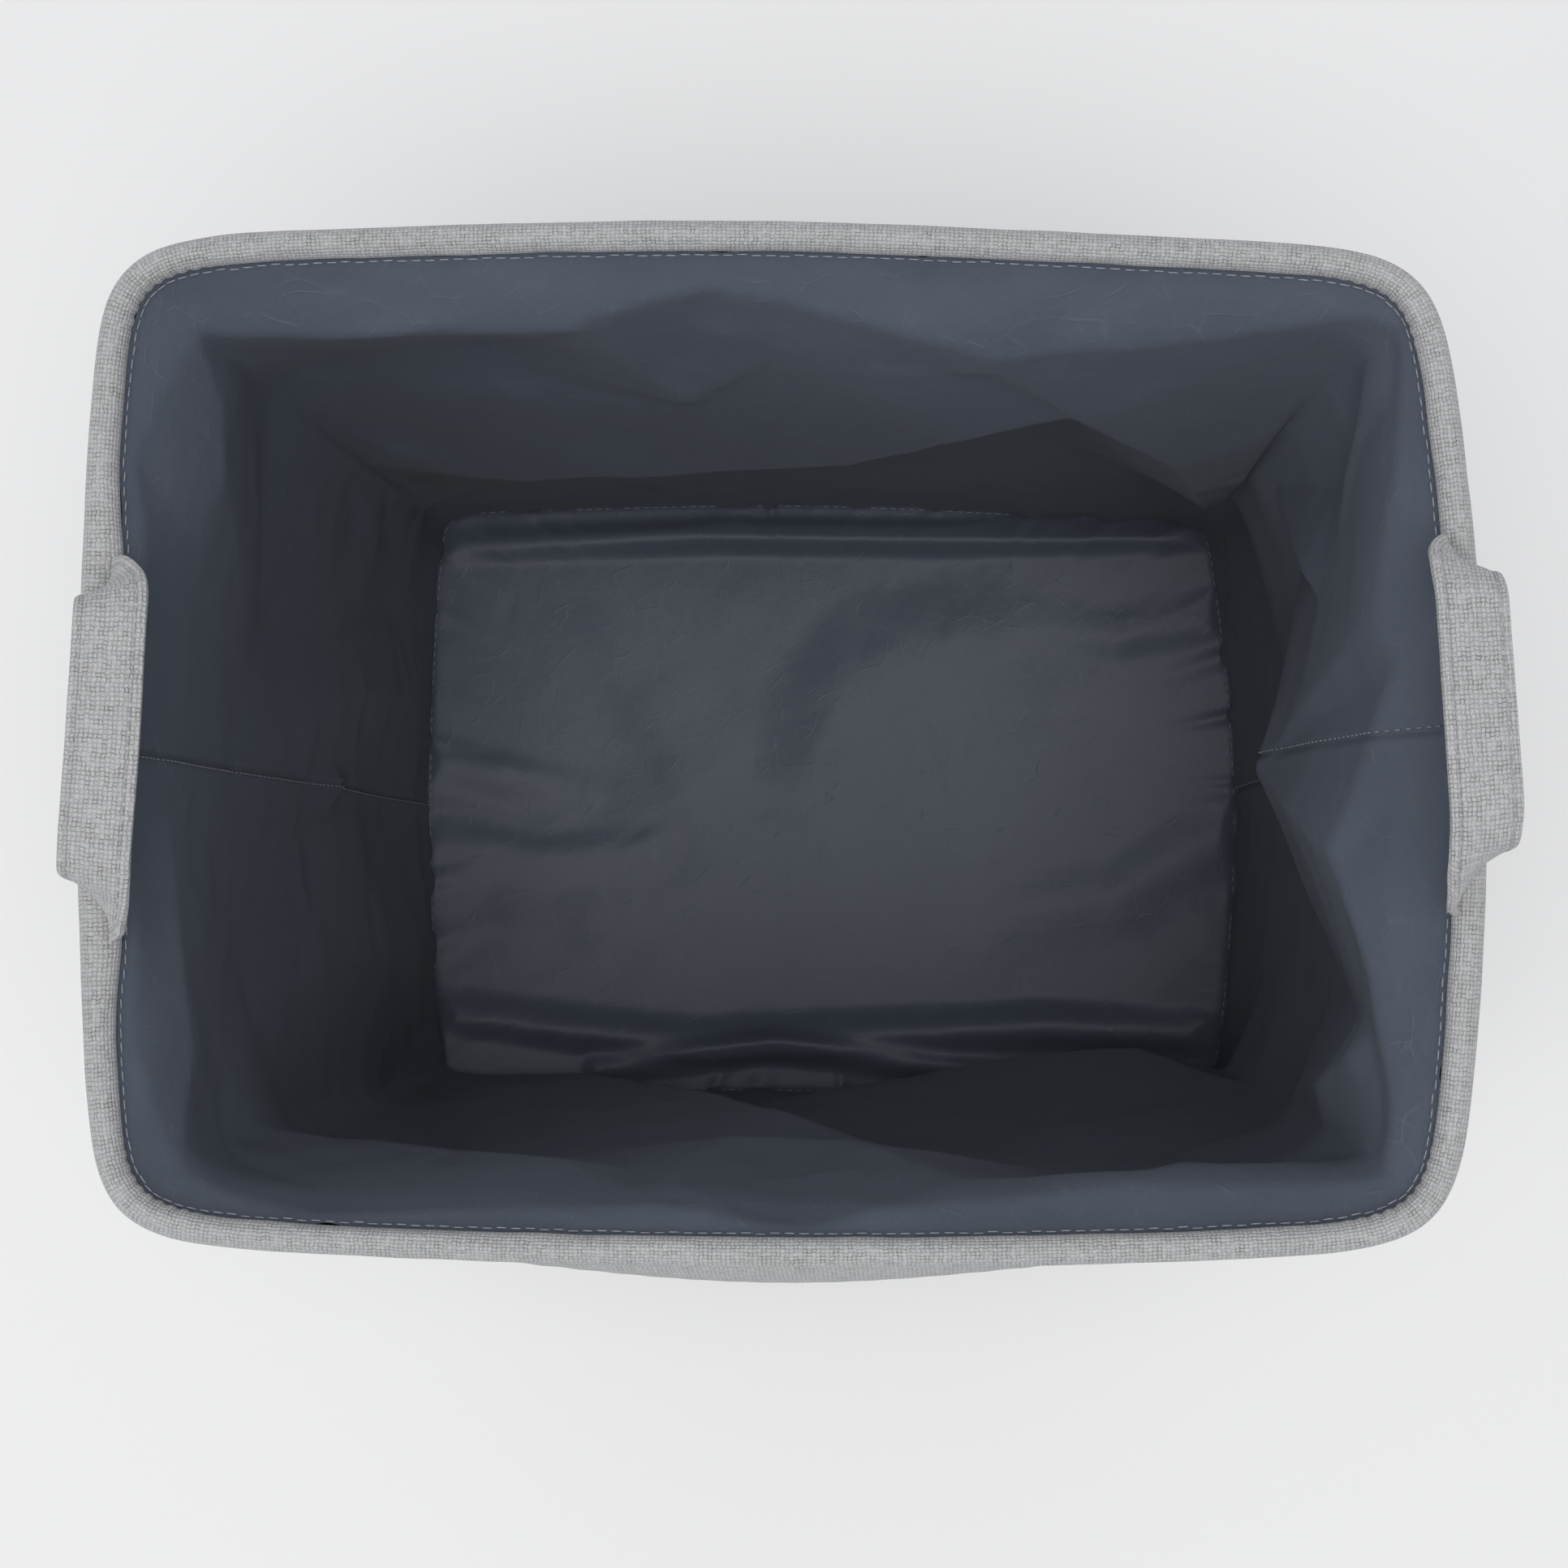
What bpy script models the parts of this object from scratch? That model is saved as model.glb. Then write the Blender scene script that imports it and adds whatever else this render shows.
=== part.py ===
"""Rectangular fabric laundry hamper: a soft lined box on a flat base, hung from a wire rim with two strap handles.

Metres, +Z up. The origin is at the middle of the underside. X runs along the long sides, and -Y is the front,
which carries the label. The rim, its wire and the handles are one group that sinks towards the base when the
walls are folded down. Each handle swings about its sewn ends.
"""

import math

import bmesh
import bpy
import numpy as np
from mathutils import Matrix, Vector

# Driving dimensions
RIM_LENGTH = 0.440  # along X, over the outside of the rim roll
RIM_DEPTH = 0.327  # along Y, over the outside of the rim roll
HEIGHT = 0.580  # from the underside to the top of the rim roll
OUTLINE_POWER = 15  # superellipse power of the plan outline, for flat sides and round corners
BOW_X = {-1: 0.0073, 1: 0.0110}  # how far the corners stand in from the middle of the left and the right side
BOW_Y = {-1: 0.0066, 1: 0.0035}  # the same for the front and the back
CORNER_WEIGHT = 0.060  # metres of outline that one radian of turn counts as, when points are spaced along it
CORNER_PULL = (0.0028, 0.0075)  # how far the rim's back right corner is drawn in, along X and Y
GAP = 0.0003  # left between pieces that touch

# Rim
ROLL_RADIUS = 0.005
HEM_THICKNESS = 0.0012
HEM_SLIT = math.radians(30)  # the hem is open underneath, where its two edges are sewn to the walls
WIRE_RADIUS = 0.0025
FERRULE_LENGTH = 0.030
FERRULE_THICKNESS = 0.0006
ROLL_HEIGHT = HEIGHT - ROLL_RADIUS

# Wall layers, as the inset of each one's outer face from the outside of the rim
COVER_INSET, COVER_THICKNESS = 0.0025, 0.0012
TAPE_INSET, TAPE_THICKNESS = 0.0040, 0.0005
STIFFENER_INSET, STIFFENER_THICKNESS = 0.0049, 0.0030
LINING_INSET, LINING_THICKNESS = 0.0082, 0.0008
LINING_SLACK = 0.0010  # left where the lining passes over the handles' sewn ends
WALL_TOP = HEIGHT - 2 * ROLL_RADIUS - GAP
WALL_ROWS = (0, 0.06, 0.14, 0.22, 0.30, 0.38, 0.45, 0.50, 0.54, WALL_TOP)  # heights of the walls' rows of points
LONG_SWELL = 0.022  # how far the slack long walls belly out
SHORT_SWELL = 0.008
SEAM_SHIFT = 0.003  # the side seams sit this far off centre, to opposite sides

# Base
BASE_THICKNESS = 0.0012
BOARD_THICKNESS = 0.003
BOARD_BOTTOM = BASE_THICKNESS + GAP
FLOOR_BOTTOM = BOARD_BOTTOM + BOARD_THICKNESS + GAP
BINDING_HEIGHT = 0.008
TAPE_WIDTH = 0.016
STIFFENER_MARGIN = 0.045  # from a panel's edge to the end of its wall
STIFFENER_BOTTOM, STIFFENER_TOP = FLOOR_BOTTOM, HEIGHT - 0.025

# Handles
STRAP_WIDTH = 0.022
STRAP_THICKNESS = 0.004
STRAP_WALL = 0.0006
CORE_WIDTH, CORE_THICKNESS = 0.013, 0.0008
ROOT_THICKNESS = 0.002  # where the strap is pressed flat and sewn in
HANDLE_SPAN = 0.118  # over the outer edges of the two sewn ends
HANDLE_RISE = 0.036  # from the pivot to the middle of the strap's top
PIVOT_HEIGHT = HEIGHT + 0.003
PIVOT_INSET = 0.014
LEAN = {-1: math.radians(-6), 1: math.radians(10)}  # how far the left and right handle lean outward
PIVOT_CLEARANCE = 0.002  # from the pivot up to where the free strap starts
END_DEPTH = 0.026  # how far a sewn end reaches down below the pivot
HANDLE_SHIFT = 0.004  # the handles sit this far off centre, each over its own side seam

# Label
LABEL_LEFT, LABEL_RIGHT = 0.102, 0.167
LABEL_BOTTOM, LABEL_TOP = 0.480, 0.520
LABEL_THICKNESS = 0.0010

PARTS = bpy.data.collections.new("laundry_hamper")


def clear_scene():
    for obj in list(bpy.data.objects):
        bpy.data.objects.remove(obj)
    bpy.context.scene.collection.children.link(PARTS)


def material(name, colour, roughness, metallic=0.0):
    made = bpy.data.materials.new(name)
    made.use_nodes = True
    shader = made.node_tree.nodes["Principled BSDF"]
    shader.inputs["Base Color"].default_value = (*colour, 1.0)
    shader.inputs["Roughness"].default_value = roughness
    shader.inputs["Metallic"].default_value = metallic
    return made


def add(name, data, finish):
    """Puts a mesh or curve in the hamper's collection as one named sub-part."""
    obj = bpy.data.objects.new(name, data)
    data.materials.append(finish)
    PARTS.objects.link(obj)
    return obj


# Plan outline and wall shape


def smooth_step(value, low, high):
    share = min(max((value - low) / (high - low), 0.0), 1.0)
    return share * share * (3 - 2 * share)


def drawn(x, y, inset):
    """Bows the sides of a point (x, y) of the unit square's outline, scales it, and draws one corner in."""
    half_x, half_y = RIM_LENGTH / 2 - inset, RIM_DEPTH / 2 - inset
    pull = smooth_step(x, -0.25, 1) * smooth_step(y, -0.25, 1)
    out_x = x * (half_x - BOW_X[1 if x > 0 else -1] * y * y) - CORNER_PULL[0] * pull
    out_y = y * (half_y - BOW_Y[1 if y > 0 else -1] * x * x) - CORNER_PULL[1] * pull
    return Vector((out_x, out_y, 0))


def outline_point(angle, inset):
    """A point of the plan outline, moved in by inset, in the direction of angle on a unit square."""
    x, y = math.cos(angle), math.sin(angle)
    reach = (abs(x) ** OUTLINE_POWER + abs(y) ** OUTLINE_POWER) ** (-1 / OUTLINE_POWER)
    return drawn(x * reach, y * reach, inset)


def side_point(along, inset, long_wall, side):
    """A point of one side of the outline at along, from -1 to 1, on a long or a short wall."""
    across = side * (1 - abs(along) ** OUTLINE_POWER) ** (1 / OUTLINE_POWER)
    return drawn(along, across, inset) if long_wall else drawn(across, along, inset)


def spaced_outline(inset, start, stop, count):
    """count outline points from angle start to angle stop, evenly spaced, but closer where it turns."""
    fine = [outline_point(a, inset) for a in np.linspace(start, stop, 1441)]
    steps = [b - a for a, b in zip(fine, fine[1:])]
    turns = [0] + [a.angle(b) for a, b in zip(steps, steps[1:])]
    weights = [step.length + CORNER_WEIGHT * turn for step, turn in zip(steps, turns)]
    along = np.concatenate([[0], np.cumsum(weights)])
    wanted = np.linspace(0, along[-1], count)
    return [Vector((*(np.interp(w, along, [p[k] for p in fine]) for k in (0, 1)), 0)) for w in wanted]


def belly(height, early, late):
    """1 at the fullest height and 0 at the rim and the base, straight from row to row as the walls are."""
    drops = 1 - np.array(WALL_ROWS) / WALL_TOP
    peak = early / (early + late)
    fullness = (drops / peak) ** early * ((1 - drops) / (1 - peak)) ** late
    return float(np.interp(height, WALL_ROWS, fullness))


def rows_between(bottom, top):
    return [bottom] + [height for height in WALL_ROWS if bottom < height < top] + [top]


def swell(point, height):
    """The outward shift of the slack wall at a point of the outline: the front is fullest just under the rim."""
    along_x, along_y = abs(point.x) / (RIM_LENGTH / 2), abs(point.y) / (RIM_DEPTH / 2)
    if point.y < 0:
        long_wall = LONG_SWELL * belly(height, 0.8, 1.8)
    else:
        long_wall = LONG_SWELL * belly(height, 1.5, 2.0)
    short_wall = SHORT_SWELL * belly(height, 1.2, 1.6)
    out_y = long_wall * max(0, 1 - along_x**2) ** 3 * along_y**4
    out_x = short_wall * max(0, 1 - along_y**2) ** 2 * along_x**4
    return Vector((math.copysign(out_x, point.x), math.copysign(out_y, point.y), 0))


def seam_angle(side):
    """The outline angle of the side seam on the +X side (side 1) or the -X side (side -1)."""
    lean = math.asin(SEAM_SHIFT / (RIM_DEPTH / 2))
    return lean if side > 0 else math.pi + lean


# Building blocks


def sheet(name, columns, rows, place, thickness, finish, wrap=False):
    """A grid whose corner (u, v), each from 0 to 1, goes to place(u, v), given its thickness by Solidify."""
    mesh = bpy.data.meshes.new(name)
    bm = bmesh.new()
    bmesh.ops.create_grid(bm, x_segments=columns, y_segments=rows, size=0.5)
    for vert in bm.verts:
        vert.co = place(vert.co.x + 0.5, vert.co.y + 0.5)
    if wrap:
        bmesh.ops.remove_doubles(bm, verts=bm.verts, dist=1e-6)
    bm.to_mesh(mesh)
    bm.free()
    mesh.shade_smooth()
    mesh.set_sharp_from_angle(angle=math.radians(40))
    obj = add(name, mesh, finish)
    solid = obj.modifiers.new("thickness", "SOLIDIFY")
    solid.thickness = thickness
    solid.offset = 0
    solid.use_even_offset = True
    return obj


def flat_piece(name, inset, bottom, thickness, finish):
    """A flat sheet of the hamper's plan outline, moved in by inset."""
    curve = bpy.data.curves.new(name, "CURVE")
    curve.dimensions = "2D"
    curve.fill_mode = "BOTH"
    curve.extrude = thickness / 2
    points = spaced_outline(inset, 0, 2 * math.pi, 73)[:-1]
    spline = curve.splines.new("POLY")
    spline.points.add(len(points) - 1)
    for place, point in zip(spline.points, points):
        place.co = (*point, 1)
    spline.use_cyclic_u = True
    obj = add(name, curve, finish)
    obj.location.z = bottom + thickness / 2
    return obj


def wall_half(name, inset, thickness, heights, finish, shift, side, columns=36):
    """Half of a wall layer, from side seam to side seam round the front (side -1) or the back (side 1).

    shift(point, height) is the layer's own move away from the plain outline.
    """
    middle = inset + thickness / 2
    start, stop = seam_angle(1), seam_angle(-1)
    if side < 0:
        start, stop = stop, start + 2 * math.pi
    slack = GAP / 2 / (RIM_DEPTH / 2)
    path = spaced_outline(middle, start + slack, stop - slack, columns + 1)

    def place(u, v):
        point = path[round(u * columns)]
        height = heights[round(v * (len(heights) - 1))]
        return point + shift(point, height) + Vector((0, 0, height))

    return sheet(name, columns, len(heights) - 1, place, thickness, finish)


# Base


def make_base(fabric, board, lining, binding):
    flat_piece("base_cover", COVER_INSET + COVER_THICKNESS + GAP, 0, BASE_THICKNESS, fabric)
    flat_piece("base_board", LINING_INSET, BOARD_BOTTOM, BOARD_THICKNESS, board)
    inside = LINING_INSET + LINING_THICKNESS + GAP
    flat_piece("lining_floor", inside, FLOOR_BOTTOM, LINING_THICKNESS, lining)
    path = spaced_outline(TAPE_INSET + TAPE_THICKNESS / 2, 0, 2 * math.pi, 73)

    def place(u, v):
        return path[round(u * 72)] + Vector((0, 0, BOARD_BOTTOM + v * BINDING_HEIGHT))

    sheet("bottom_seam_binding", 72, 1, place, TAPE_THICKNESS, binding, wrap=True)


# Walls


def make_covers(fabric):
    for name, side in (("cover_front", -1), ("cover_back", 1)):
        wall_half(name, COVER_INSET, COVER_THICKNESS, WALL_ROWS, fabric, swell, side)


def make_seam_tapes(binding):
    """The binding over each side seam's raw edges, on the inside of the cover."""
    heights = rows_between(BOARD_BOTTOM + BINDING_HEIGHT + GAP, STIFFENER_TOP)
    middle = TAPE_INSET + TAPE_THICKNESS / 2
    for name, side in (("side_seam_tape_left", -1), ("side_seam_tape_right", 1)):

        def place(u, v, side=side):
            y = side * SEAM_SHIFT + (u - 0.5) * TAPE_WIDTH
            point = side_point(y / (RIM_DEPTH / 2 - middle), middle, False, side)
            height = heights[round(v * (len(heights) - 1))]
            return point + swell(point, height) + Vector((0, 0, height))

        sheet(name, 2, len(heights) - 1, place, TAPE_THICKNESS, binding)


def make_stiffeners(foam):
    """Four loose foam panels between cover and lining, which hold the walls up and fold between the corners."""
    heights = rows_between(STIFFENER_BOTTOM, STIFFENER_TOP)
    middle = STIFFENER_INSET + STIFFENER_THICKNESS / 2
    for name, long_wall, side in (
        ("stiffener_front", True, -1),
        ("stiffener_back", True, 1),
        ("stiffener_left", False, -1),
        ("stiffener_right", False, 1),
    ):
        reach = 1 - STIFFENER_MARGIN / ((RIM_LENGTH if long_wall else RIM_DEPTH) / 2)

        def place(u, v, long_wall=long_wall, side=side, reach=reach):
            point = side_point((2 * u - 1) * reach, middle, long_wall, side)
            height = heights[round(v * (len(heights) - 1))]
            return point + swell(point, height) + Vector((0, 0, height))

        sheet(name, 12, len(heights) - 1, place, STIFFENER_THICKNESS, foam)


def lining_shift(point, height):
    """The lining leans in to the rim's inner edge at its top, and further in over the handles' sewn ends."""
    lean_in = 2 * ROLL_RADIUS + GAP - LINING_INSET
    over_end = PIVOT_INSET + ROOT_THICKNESS / 2 - 2 * ROLL_RADIUS + LINING_SLACK
    near_handle = 1 - smooth_step(abs(point.y), HANDLE_SPAN / 2 + 0.012, HANDLE_SPAN / 2 + 0.050)
    on_side = smooth_step(abs(point.x), RIM_LENGTH / 2 * 0.9, RIM_LENGTH / 2 * 0.95)
    move = lean_in * smooth_step(height, 0.50, 0.55)
    move += over_end * near_handle * on_side * smooth_step(height, 0.47, 0.54)
    inner_x = point.x * (1 - move / (RIM_LENGTH / 2))
    inner_y = point.y * (1 - move / (RIM_DEPTH / 2))
    return Vector((inner_x - point.x, inner_y - point.y, 0))


def make_linings(lining):
    heights = [FLOOR_BOTTOM, 0.16, 0.32, 0.46, 0.49, 0.515, 0.54, 0.556, HEIGHT - 0.005]
    for name, side in (("lining_front", -1), ("lining_back", 1)):
        wall_half(name, LINING_INSET, LINING_THICKNESS, heights, lining, lining_shift, side)


def make_label(leather):
    """The blank label on the front, lying on the cover."""
    inset = COVER_INSET - 2 * GAP - LABEL_THICKNESS / 2

    def place(u, v):
        x = LABEL_LEFT + u * (LABEL_RIGHT - LABEL_LEFT)
        point = side_point(x / (RIM_LENGTH / 2 - inset), inset, True, -1)
        height = LABEL_BOTTOM + v * (LABEL_TOP - LABEL_BOTTOM)
        return point + swell(point, height) + Vector((0, 0, height))

    sheet("front_label", 6, 6, place, LABEL_THICKNESS, leather)


# Rim


def make_hem(fabric):
    """The cover's rolled top edge: a C of fabric round the wire, open underneath."""
    columns, rows = 72, 7
    path = spaced_outline(ROLL_RADIUS, 0, 2 * math.pi, columns + 1)
    radius = ROLL_RADIUS - HEM_THICKNESS / 2

    def place(u, v):
        step = round(u * columns) % columns
        ahead = path[(step + 1) % columns] - path[(step - 1) % columns]
        outward = Vector((ahead.y, -ahead.x, 0)).normalized()
        turn = -math.pi / 2 + HEM_SLIT / 2 + v * (2 * math.pi - HEM_SLIT)
        around = outward * math.cos(turn) + Vector((0, 0, math.sin(turn)))
        return path[step] + around * radius + Vector((0, 0, ROLL_HEIGHT))

    sheet("rim_hem", columns, rows, place, HEM_THICKNESS, fabric, wrap=True)


def make_wire(steel):
    """One bent wire whose ends meet inside the ferrule at the middle of the back."""
    curve = bpy.data.curves.new("rim_wire", "CURVE")
    curve.dimensions = "3D"
    curve.bevel_depth = WIRE_RADIUS
    curve.bevel_resolution = 2
    curve.use_fill_caps = True
    break_angle = GAP / RIM_LENGTH
    start = math.pi / 2 + break_angle
    points = spaced_outline(ROLL_RADIUS, start, start + 2 * math.pi - 2 * break_angle, 73)
    spline = curve.splines.new("POLY")
    spline.points.add(len(points) - 1)
    for place, point in zip(spline.points, points):
        place.co = (point.x, point.y, ROLL_HEIGHT, 1)
    add("rim_wire", curve, steel)


def make_ferrule(steel):
    radius = WIRE_RADIUS + GAP + FERRULE_THICKNESS / 2

    def place(u, v):
        turn = 2 * math.pi * u
        centre = side_point((v - 0.5) * FERRULE_LENGTH / (RIM_LENGTH / 2), ROLL_RADIUS, True, 1)
        return centre + Vector((0, radius * math.cos(turn), ROLL_HEIGHT + radius * math.sin(turn)))

    sheet("rim_wire_ferrule", 16, 1, place, FERRULE_THICKNESS, steel, wrap=True)


# Handles


def pivot(side, end):
    """Where the handle's front end (end -1) or back end (end 1) turns, just inside the rim roll."""
    y = side * HANDLE_SHIFT + end * (HANDLE_SPAN - STRAP_WIDTH) / 2
    point = side_point(y / (RIM_DEPTH / 2 - PIVOT_INSET), PIVOT_INSET, False, side)
    return Vector((point.x, y, PIVOT_HEIGHT))


def pivot_line(side):
    """The middle of a handle's pivot line, its half span from front to back, and the outward direction."""
    front, back = pivot(side, -1), pivot(side, 1)
    half_span = (back - front) / 2
    outward = side * half_span.cross(Vector((0, 0, 1))).normalized()
    return (front + back) / 2, half_span, outward


def leaning(side):
    """The turn about a handle's pivot line that takes it from upright to its lean."""
    middle, half_span, _ = pivot_line(side)
    turn = Matrix.Rotation(side * LEAN[side], 4, half_span)
    return Matrix.Translation(middle) @ turn @ Matrix.Translation(-middle)


def strap_frame(share, side):
    """The strap's centre, the direction across its width and its thickness at share 0 to 1 of its length.

    The strap rises from its back end, turns from edge-on to flat, runs level over the rim and comes down again.
    """
    middle, half_span, outward = pivot_line(side)
    turn = math.pi * share
    across_span = math.copysign(abs(math.cos(turn)) ** 0.75, math.cos(turn))
    rise = math.sin(turn) ** 0.7
    height = PIVOT_CLEARANCE + (HANDLE_RISE - PIVOT_CLEARANCE) * rise
    centre = middle + half_span * across_span + Vector((0, 0, height))
    flat = smooth_step(rise, 0.0, 0.9) * math.pi / 2
    along = half_span.normalized() * math.copysign(1, math.cos(turn))
    width = outward * math.sin(flat) + along * math.cos(flat)
    thickness = ROOT_THICKNESS + (STRAP_THICKNESS - ROOT_THICKNESS) * smooth_step(rise, 0.0, 0.5)
    return centre, width, thickness


def strap_normal(share, side):
    """The direction through the strap's thickness at share of its length."""
    step = 0.002
    before, after = max(share - step, 0), min(share + step, 1)
    ahead = strap_frame(after, side)[0] - strap_frame(before, side)[0]
    return ahead.cross(strap_frame(share, side)[1]).normalized()


def make_handle(name, side, fabric, webbing):
    """A strap of cover fabric sewn round a webbing core, with a free arch between two sewn ends."""
    steps, corners, core_margin = 20, 10, 4
    lean = leaning(side)

    def skin(u, v):
        centre, width, thickness = strap_frame(v, side)
        turn = 2 * math.pi * u
        flat_cos = math.copysign(abs(math.cos(turn)) ** 0.4, math.cos(turn))
        flat_sin = math.copysign(abs(math.sin(turn)) ** 0.6, math.sin(turn))
        half_width = (STRAP_WIDTH - STRAP_WALL) / 2
        half_thickness = (thickness - STRAP_WALL) / 2
        normal = strap_normal(v, side)
        return lean @ (centre + width * half_width * flat_cos + normal * half_thickness * flat_sin)

    sheet(name + "_strap", corners, steps, skin, STRAP_WALL, fabric, wrap=True)

    core_steps = steps - 2 * core_margin

    def core(u, v):
        centre, width, _ = strap_frame((core_margin + v * core_steps) / steps, side)
        return lean @ (centre + width * (u - 0.5) * CORE_WIDTH)

    sheet(name + "_core", 2, core_steps, core, CORE_THICKNESS, webbing)


def make_handle_end(name, side, end, fabric):
    """The part of the strap that is pressed flat between the rim hem and the lining and sewn down."""
    bpy.ops.mesh.primitive_cube_add(size=1)
    obj = bpy.context.object
    obj.name = name
    obj.data.name = name
    obj.scale = (ROOT_THICKNESS, STRAP_WIDTH, END_DEPTH)
    bpy.ops.object.transform_apply(location=False, rotation=False, scale=True)
    obj.location = pivot(side, end) - Vector((0, 0, END_DEPTH / 2 + GAP))
    half_span = pivot_line(side)[1]
    obj.rotation_euler.z = -math.atan2(half_span.x, half_span.y)
    soften = obj.modifiers.new("soft_edges", "BEVEL")
    soften.width = ROOT_THICKNESS * 0.35
    soften.segments = 2
    obj.data.materials.append(fabric)
    for home in obj.users_collection:
        home.objects.unlink(obj)
    PARTS.objects.link(obj)


def main():
    clear_scene()
    linen = material("grey_linen", (0.36, 0.36, 0.37), 0.9)
    nylon = material("slate_lining", (0.085, 0.100, 0.130), 0.55)
    foam = material("white_foam", (0.80, 0.80, 0.78), 0.8)
    board = material("grey_board", (0.35, 0.34, 0.32), 0.8)
    binding = material("white_binding", (0.70, 0.70, 0.70), 0.85)
    steel = material("zinc_wire", (0.60, 0.60, 0.60), 0.35, 1.0)
    webbing = material("webbing", (0.55, 0.55, 0.55), 0.9)
    leather = material("navy_label", (0.03, 0.035, 0.06), 0.5)
    make_base(linen, board, nylon, binding)
    make_covers(linen)
    make_seam_tapes(binding)
    make_stiffeners(foam)
    make_linings(nylon)
    make_label(leather)
    make_hem(linen)
    make_wire(steel)
    make_ferrule(steel)
    for name, side in (("handle_left", -1), ("handle_right", 1)):
        make_handle(name, side, linen, webbing)
        for end_name, end in (("_end_front", -1), ("_end_back", 1)):
            make_handle_end(name + end_name, side, end, linen)


main()
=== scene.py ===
"""Looks of the fabric laundry hamper: woven cover, slack lining, rim roll, handles, stitches and label.

Every surface is worked out with numpy on a grid. The plan outline is a superellipse with slightly bowed
sides, and each layer is that outline moved inwards. Metres, +Z up, with the label on the -Y side.
"""

import math

import bpy
import numpy as np
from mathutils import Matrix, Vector


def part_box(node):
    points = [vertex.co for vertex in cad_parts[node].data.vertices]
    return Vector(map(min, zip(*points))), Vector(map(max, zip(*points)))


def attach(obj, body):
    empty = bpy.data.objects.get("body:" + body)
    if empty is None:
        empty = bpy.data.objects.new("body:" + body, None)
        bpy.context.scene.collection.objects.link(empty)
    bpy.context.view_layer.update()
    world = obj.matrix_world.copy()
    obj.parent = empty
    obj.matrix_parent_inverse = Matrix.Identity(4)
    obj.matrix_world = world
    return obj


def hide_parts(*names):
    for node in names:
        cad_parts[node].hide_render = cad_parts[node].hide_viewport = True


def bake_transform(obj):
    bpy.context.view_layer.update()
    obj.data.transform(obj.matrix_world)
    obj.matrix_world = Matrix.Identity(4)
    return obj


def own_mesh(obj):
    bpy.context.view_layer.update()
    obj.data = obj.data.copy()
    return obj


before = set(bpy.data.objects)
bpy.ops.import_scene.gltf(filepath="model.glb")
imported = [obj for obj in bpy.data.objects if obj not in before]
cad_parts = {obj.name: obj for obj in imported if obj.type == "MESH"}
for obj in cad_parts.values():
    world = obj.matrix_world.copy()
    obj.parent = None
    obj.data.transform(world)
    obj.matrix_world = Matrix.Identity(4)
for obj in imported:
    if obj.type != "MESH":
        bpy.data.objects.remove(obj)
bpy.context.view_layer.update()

# Plan outline, as in the CAD
RIM_LENGTH, RIM_DEPTH, HEIGHT = 0.440, 0.327, 0.580
OUTLINE_POWER = 15
BOW_X = (0.0073, 0.0110)  # left, right
BOW_Y = (0.0066, 0.0035)  # front, back
CORNER_PULL = (0.0028, 0.0075)
PIVOT_INSET, PIVOT_HEIGHT = 0.014, 0.583
STRAP_WIDTH, HANDLE_SPAN, HANDLE_SHIFT = 0.022, 0.118, 0.004
LEAN = {-1: math.radians(-6), 1: math.radians(10)}
SEAM_SHIFT = 0.003

# Cloth
WEAVE_PITCH, TWILL_PITCH = 0.00140, 0.00062
# The second linen colour is painted shade: the dark seen in the gaps between the threads.
LINEN, LINEN_GAP_SHADE = (0.385, 0.383, 0.381), (0.042, 0.037, 0.034)
SLATE = (0.085, 0.098, 0.127)
PALE_THREAD, SLATE_THREAD = (0.27, 0.28, 0.31), (0.24, 0.26, 0.31)
LINING_INSET = 0.0095
LINING_TOP, LINING_BOTTOM = 0.5720, 0.0068
COVER_INSET, COVER_TOP = 0.0025, 0.5720
ROLL_WIDTH, SIDE_FULLNESS, HANDLE_PADDING, ROLL_HALF_HEIGHT = 0.0092, 0.0007, 0.0034, 0.0054
PUCKER_PITCH = 0.0046
STITCH_PITCH, STITCH_LENGTH = 0.0044, 0.0032
TWO_PI = 2 * math.pi
MM = 1000  # millimetres in a metre


# --- plan outline ---


def ease(value, low, high):
    """0 below low, 1 above high and a smooth S between them."""
    share = np.clip((value - low) / (high - low), 0, 1)
    return share * share * (3 - 2 * share)


def outline(turn, inset, power=OUTLINE_POWER):
    """Points (x, y) of the outline moved in by inset: |x|^15 + |y|^15 = 1, bowed, one corner drawn in."""
    x, y = np.cos(turn), np.sin(turn)
    reach = (np.abs(x) ** power + np.abs(y) ** power) ** (-1 / power)
    x, y = x * reach, y * reach
    pull = ease(x, -0.25, 1) * ease(y, -0.25, 1)
    out_x = x * (RIM_LENGTH / 2 - inset - np.where(x < 0, *BOW_X) * y * y) - CORNER_PULL[0] * pull
    out_y = y * (RIM_DEPTH / 2 - inset - np.where(y < 0, *BOW_Y) * x * x) - CORNER_PULL[1] * pull
    return np.stack([out_x, out_y], -1)


_turns = np.linspace(0, TWO_PI, 6001)
_points = outline(_turns, LINING_INSET)
_arc = np.concatenate([[0], np.cumsum(np.linalg.norm(np.diff(_points, axis=0), axis=1))])
AROUND = _arc[-1]  # length of the lining's outline


def turn_at(s):
    """The outline angle at distance s along the lining's outline, from the middle of the right side."""
    return np.interp(np.mod(s, AROUND), _arc, _turns) + TWO_PI * np.floor(s / AROUND)


def distance_at(wall, along):
    """The distance along the lining's outline of a wall's point at x (front, back) or y (left, right)."""
    quarter = {"right": 0, "back": 1, "left": 2, "front": 3}[wall]
    turns = np.linspace(quarter - 0.5, quarter + 0.5, 1501) * math.pi / 2
    values = outline(turns, LINING_INSET)[:, 0 if quarter % 2 else 1]
    order = np.argsort(values)
    turn = np.interp(along, values[order], turns[order])
    return np.interp(np.mod(turn, TWO_PI), _turns, _arc)


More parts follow.
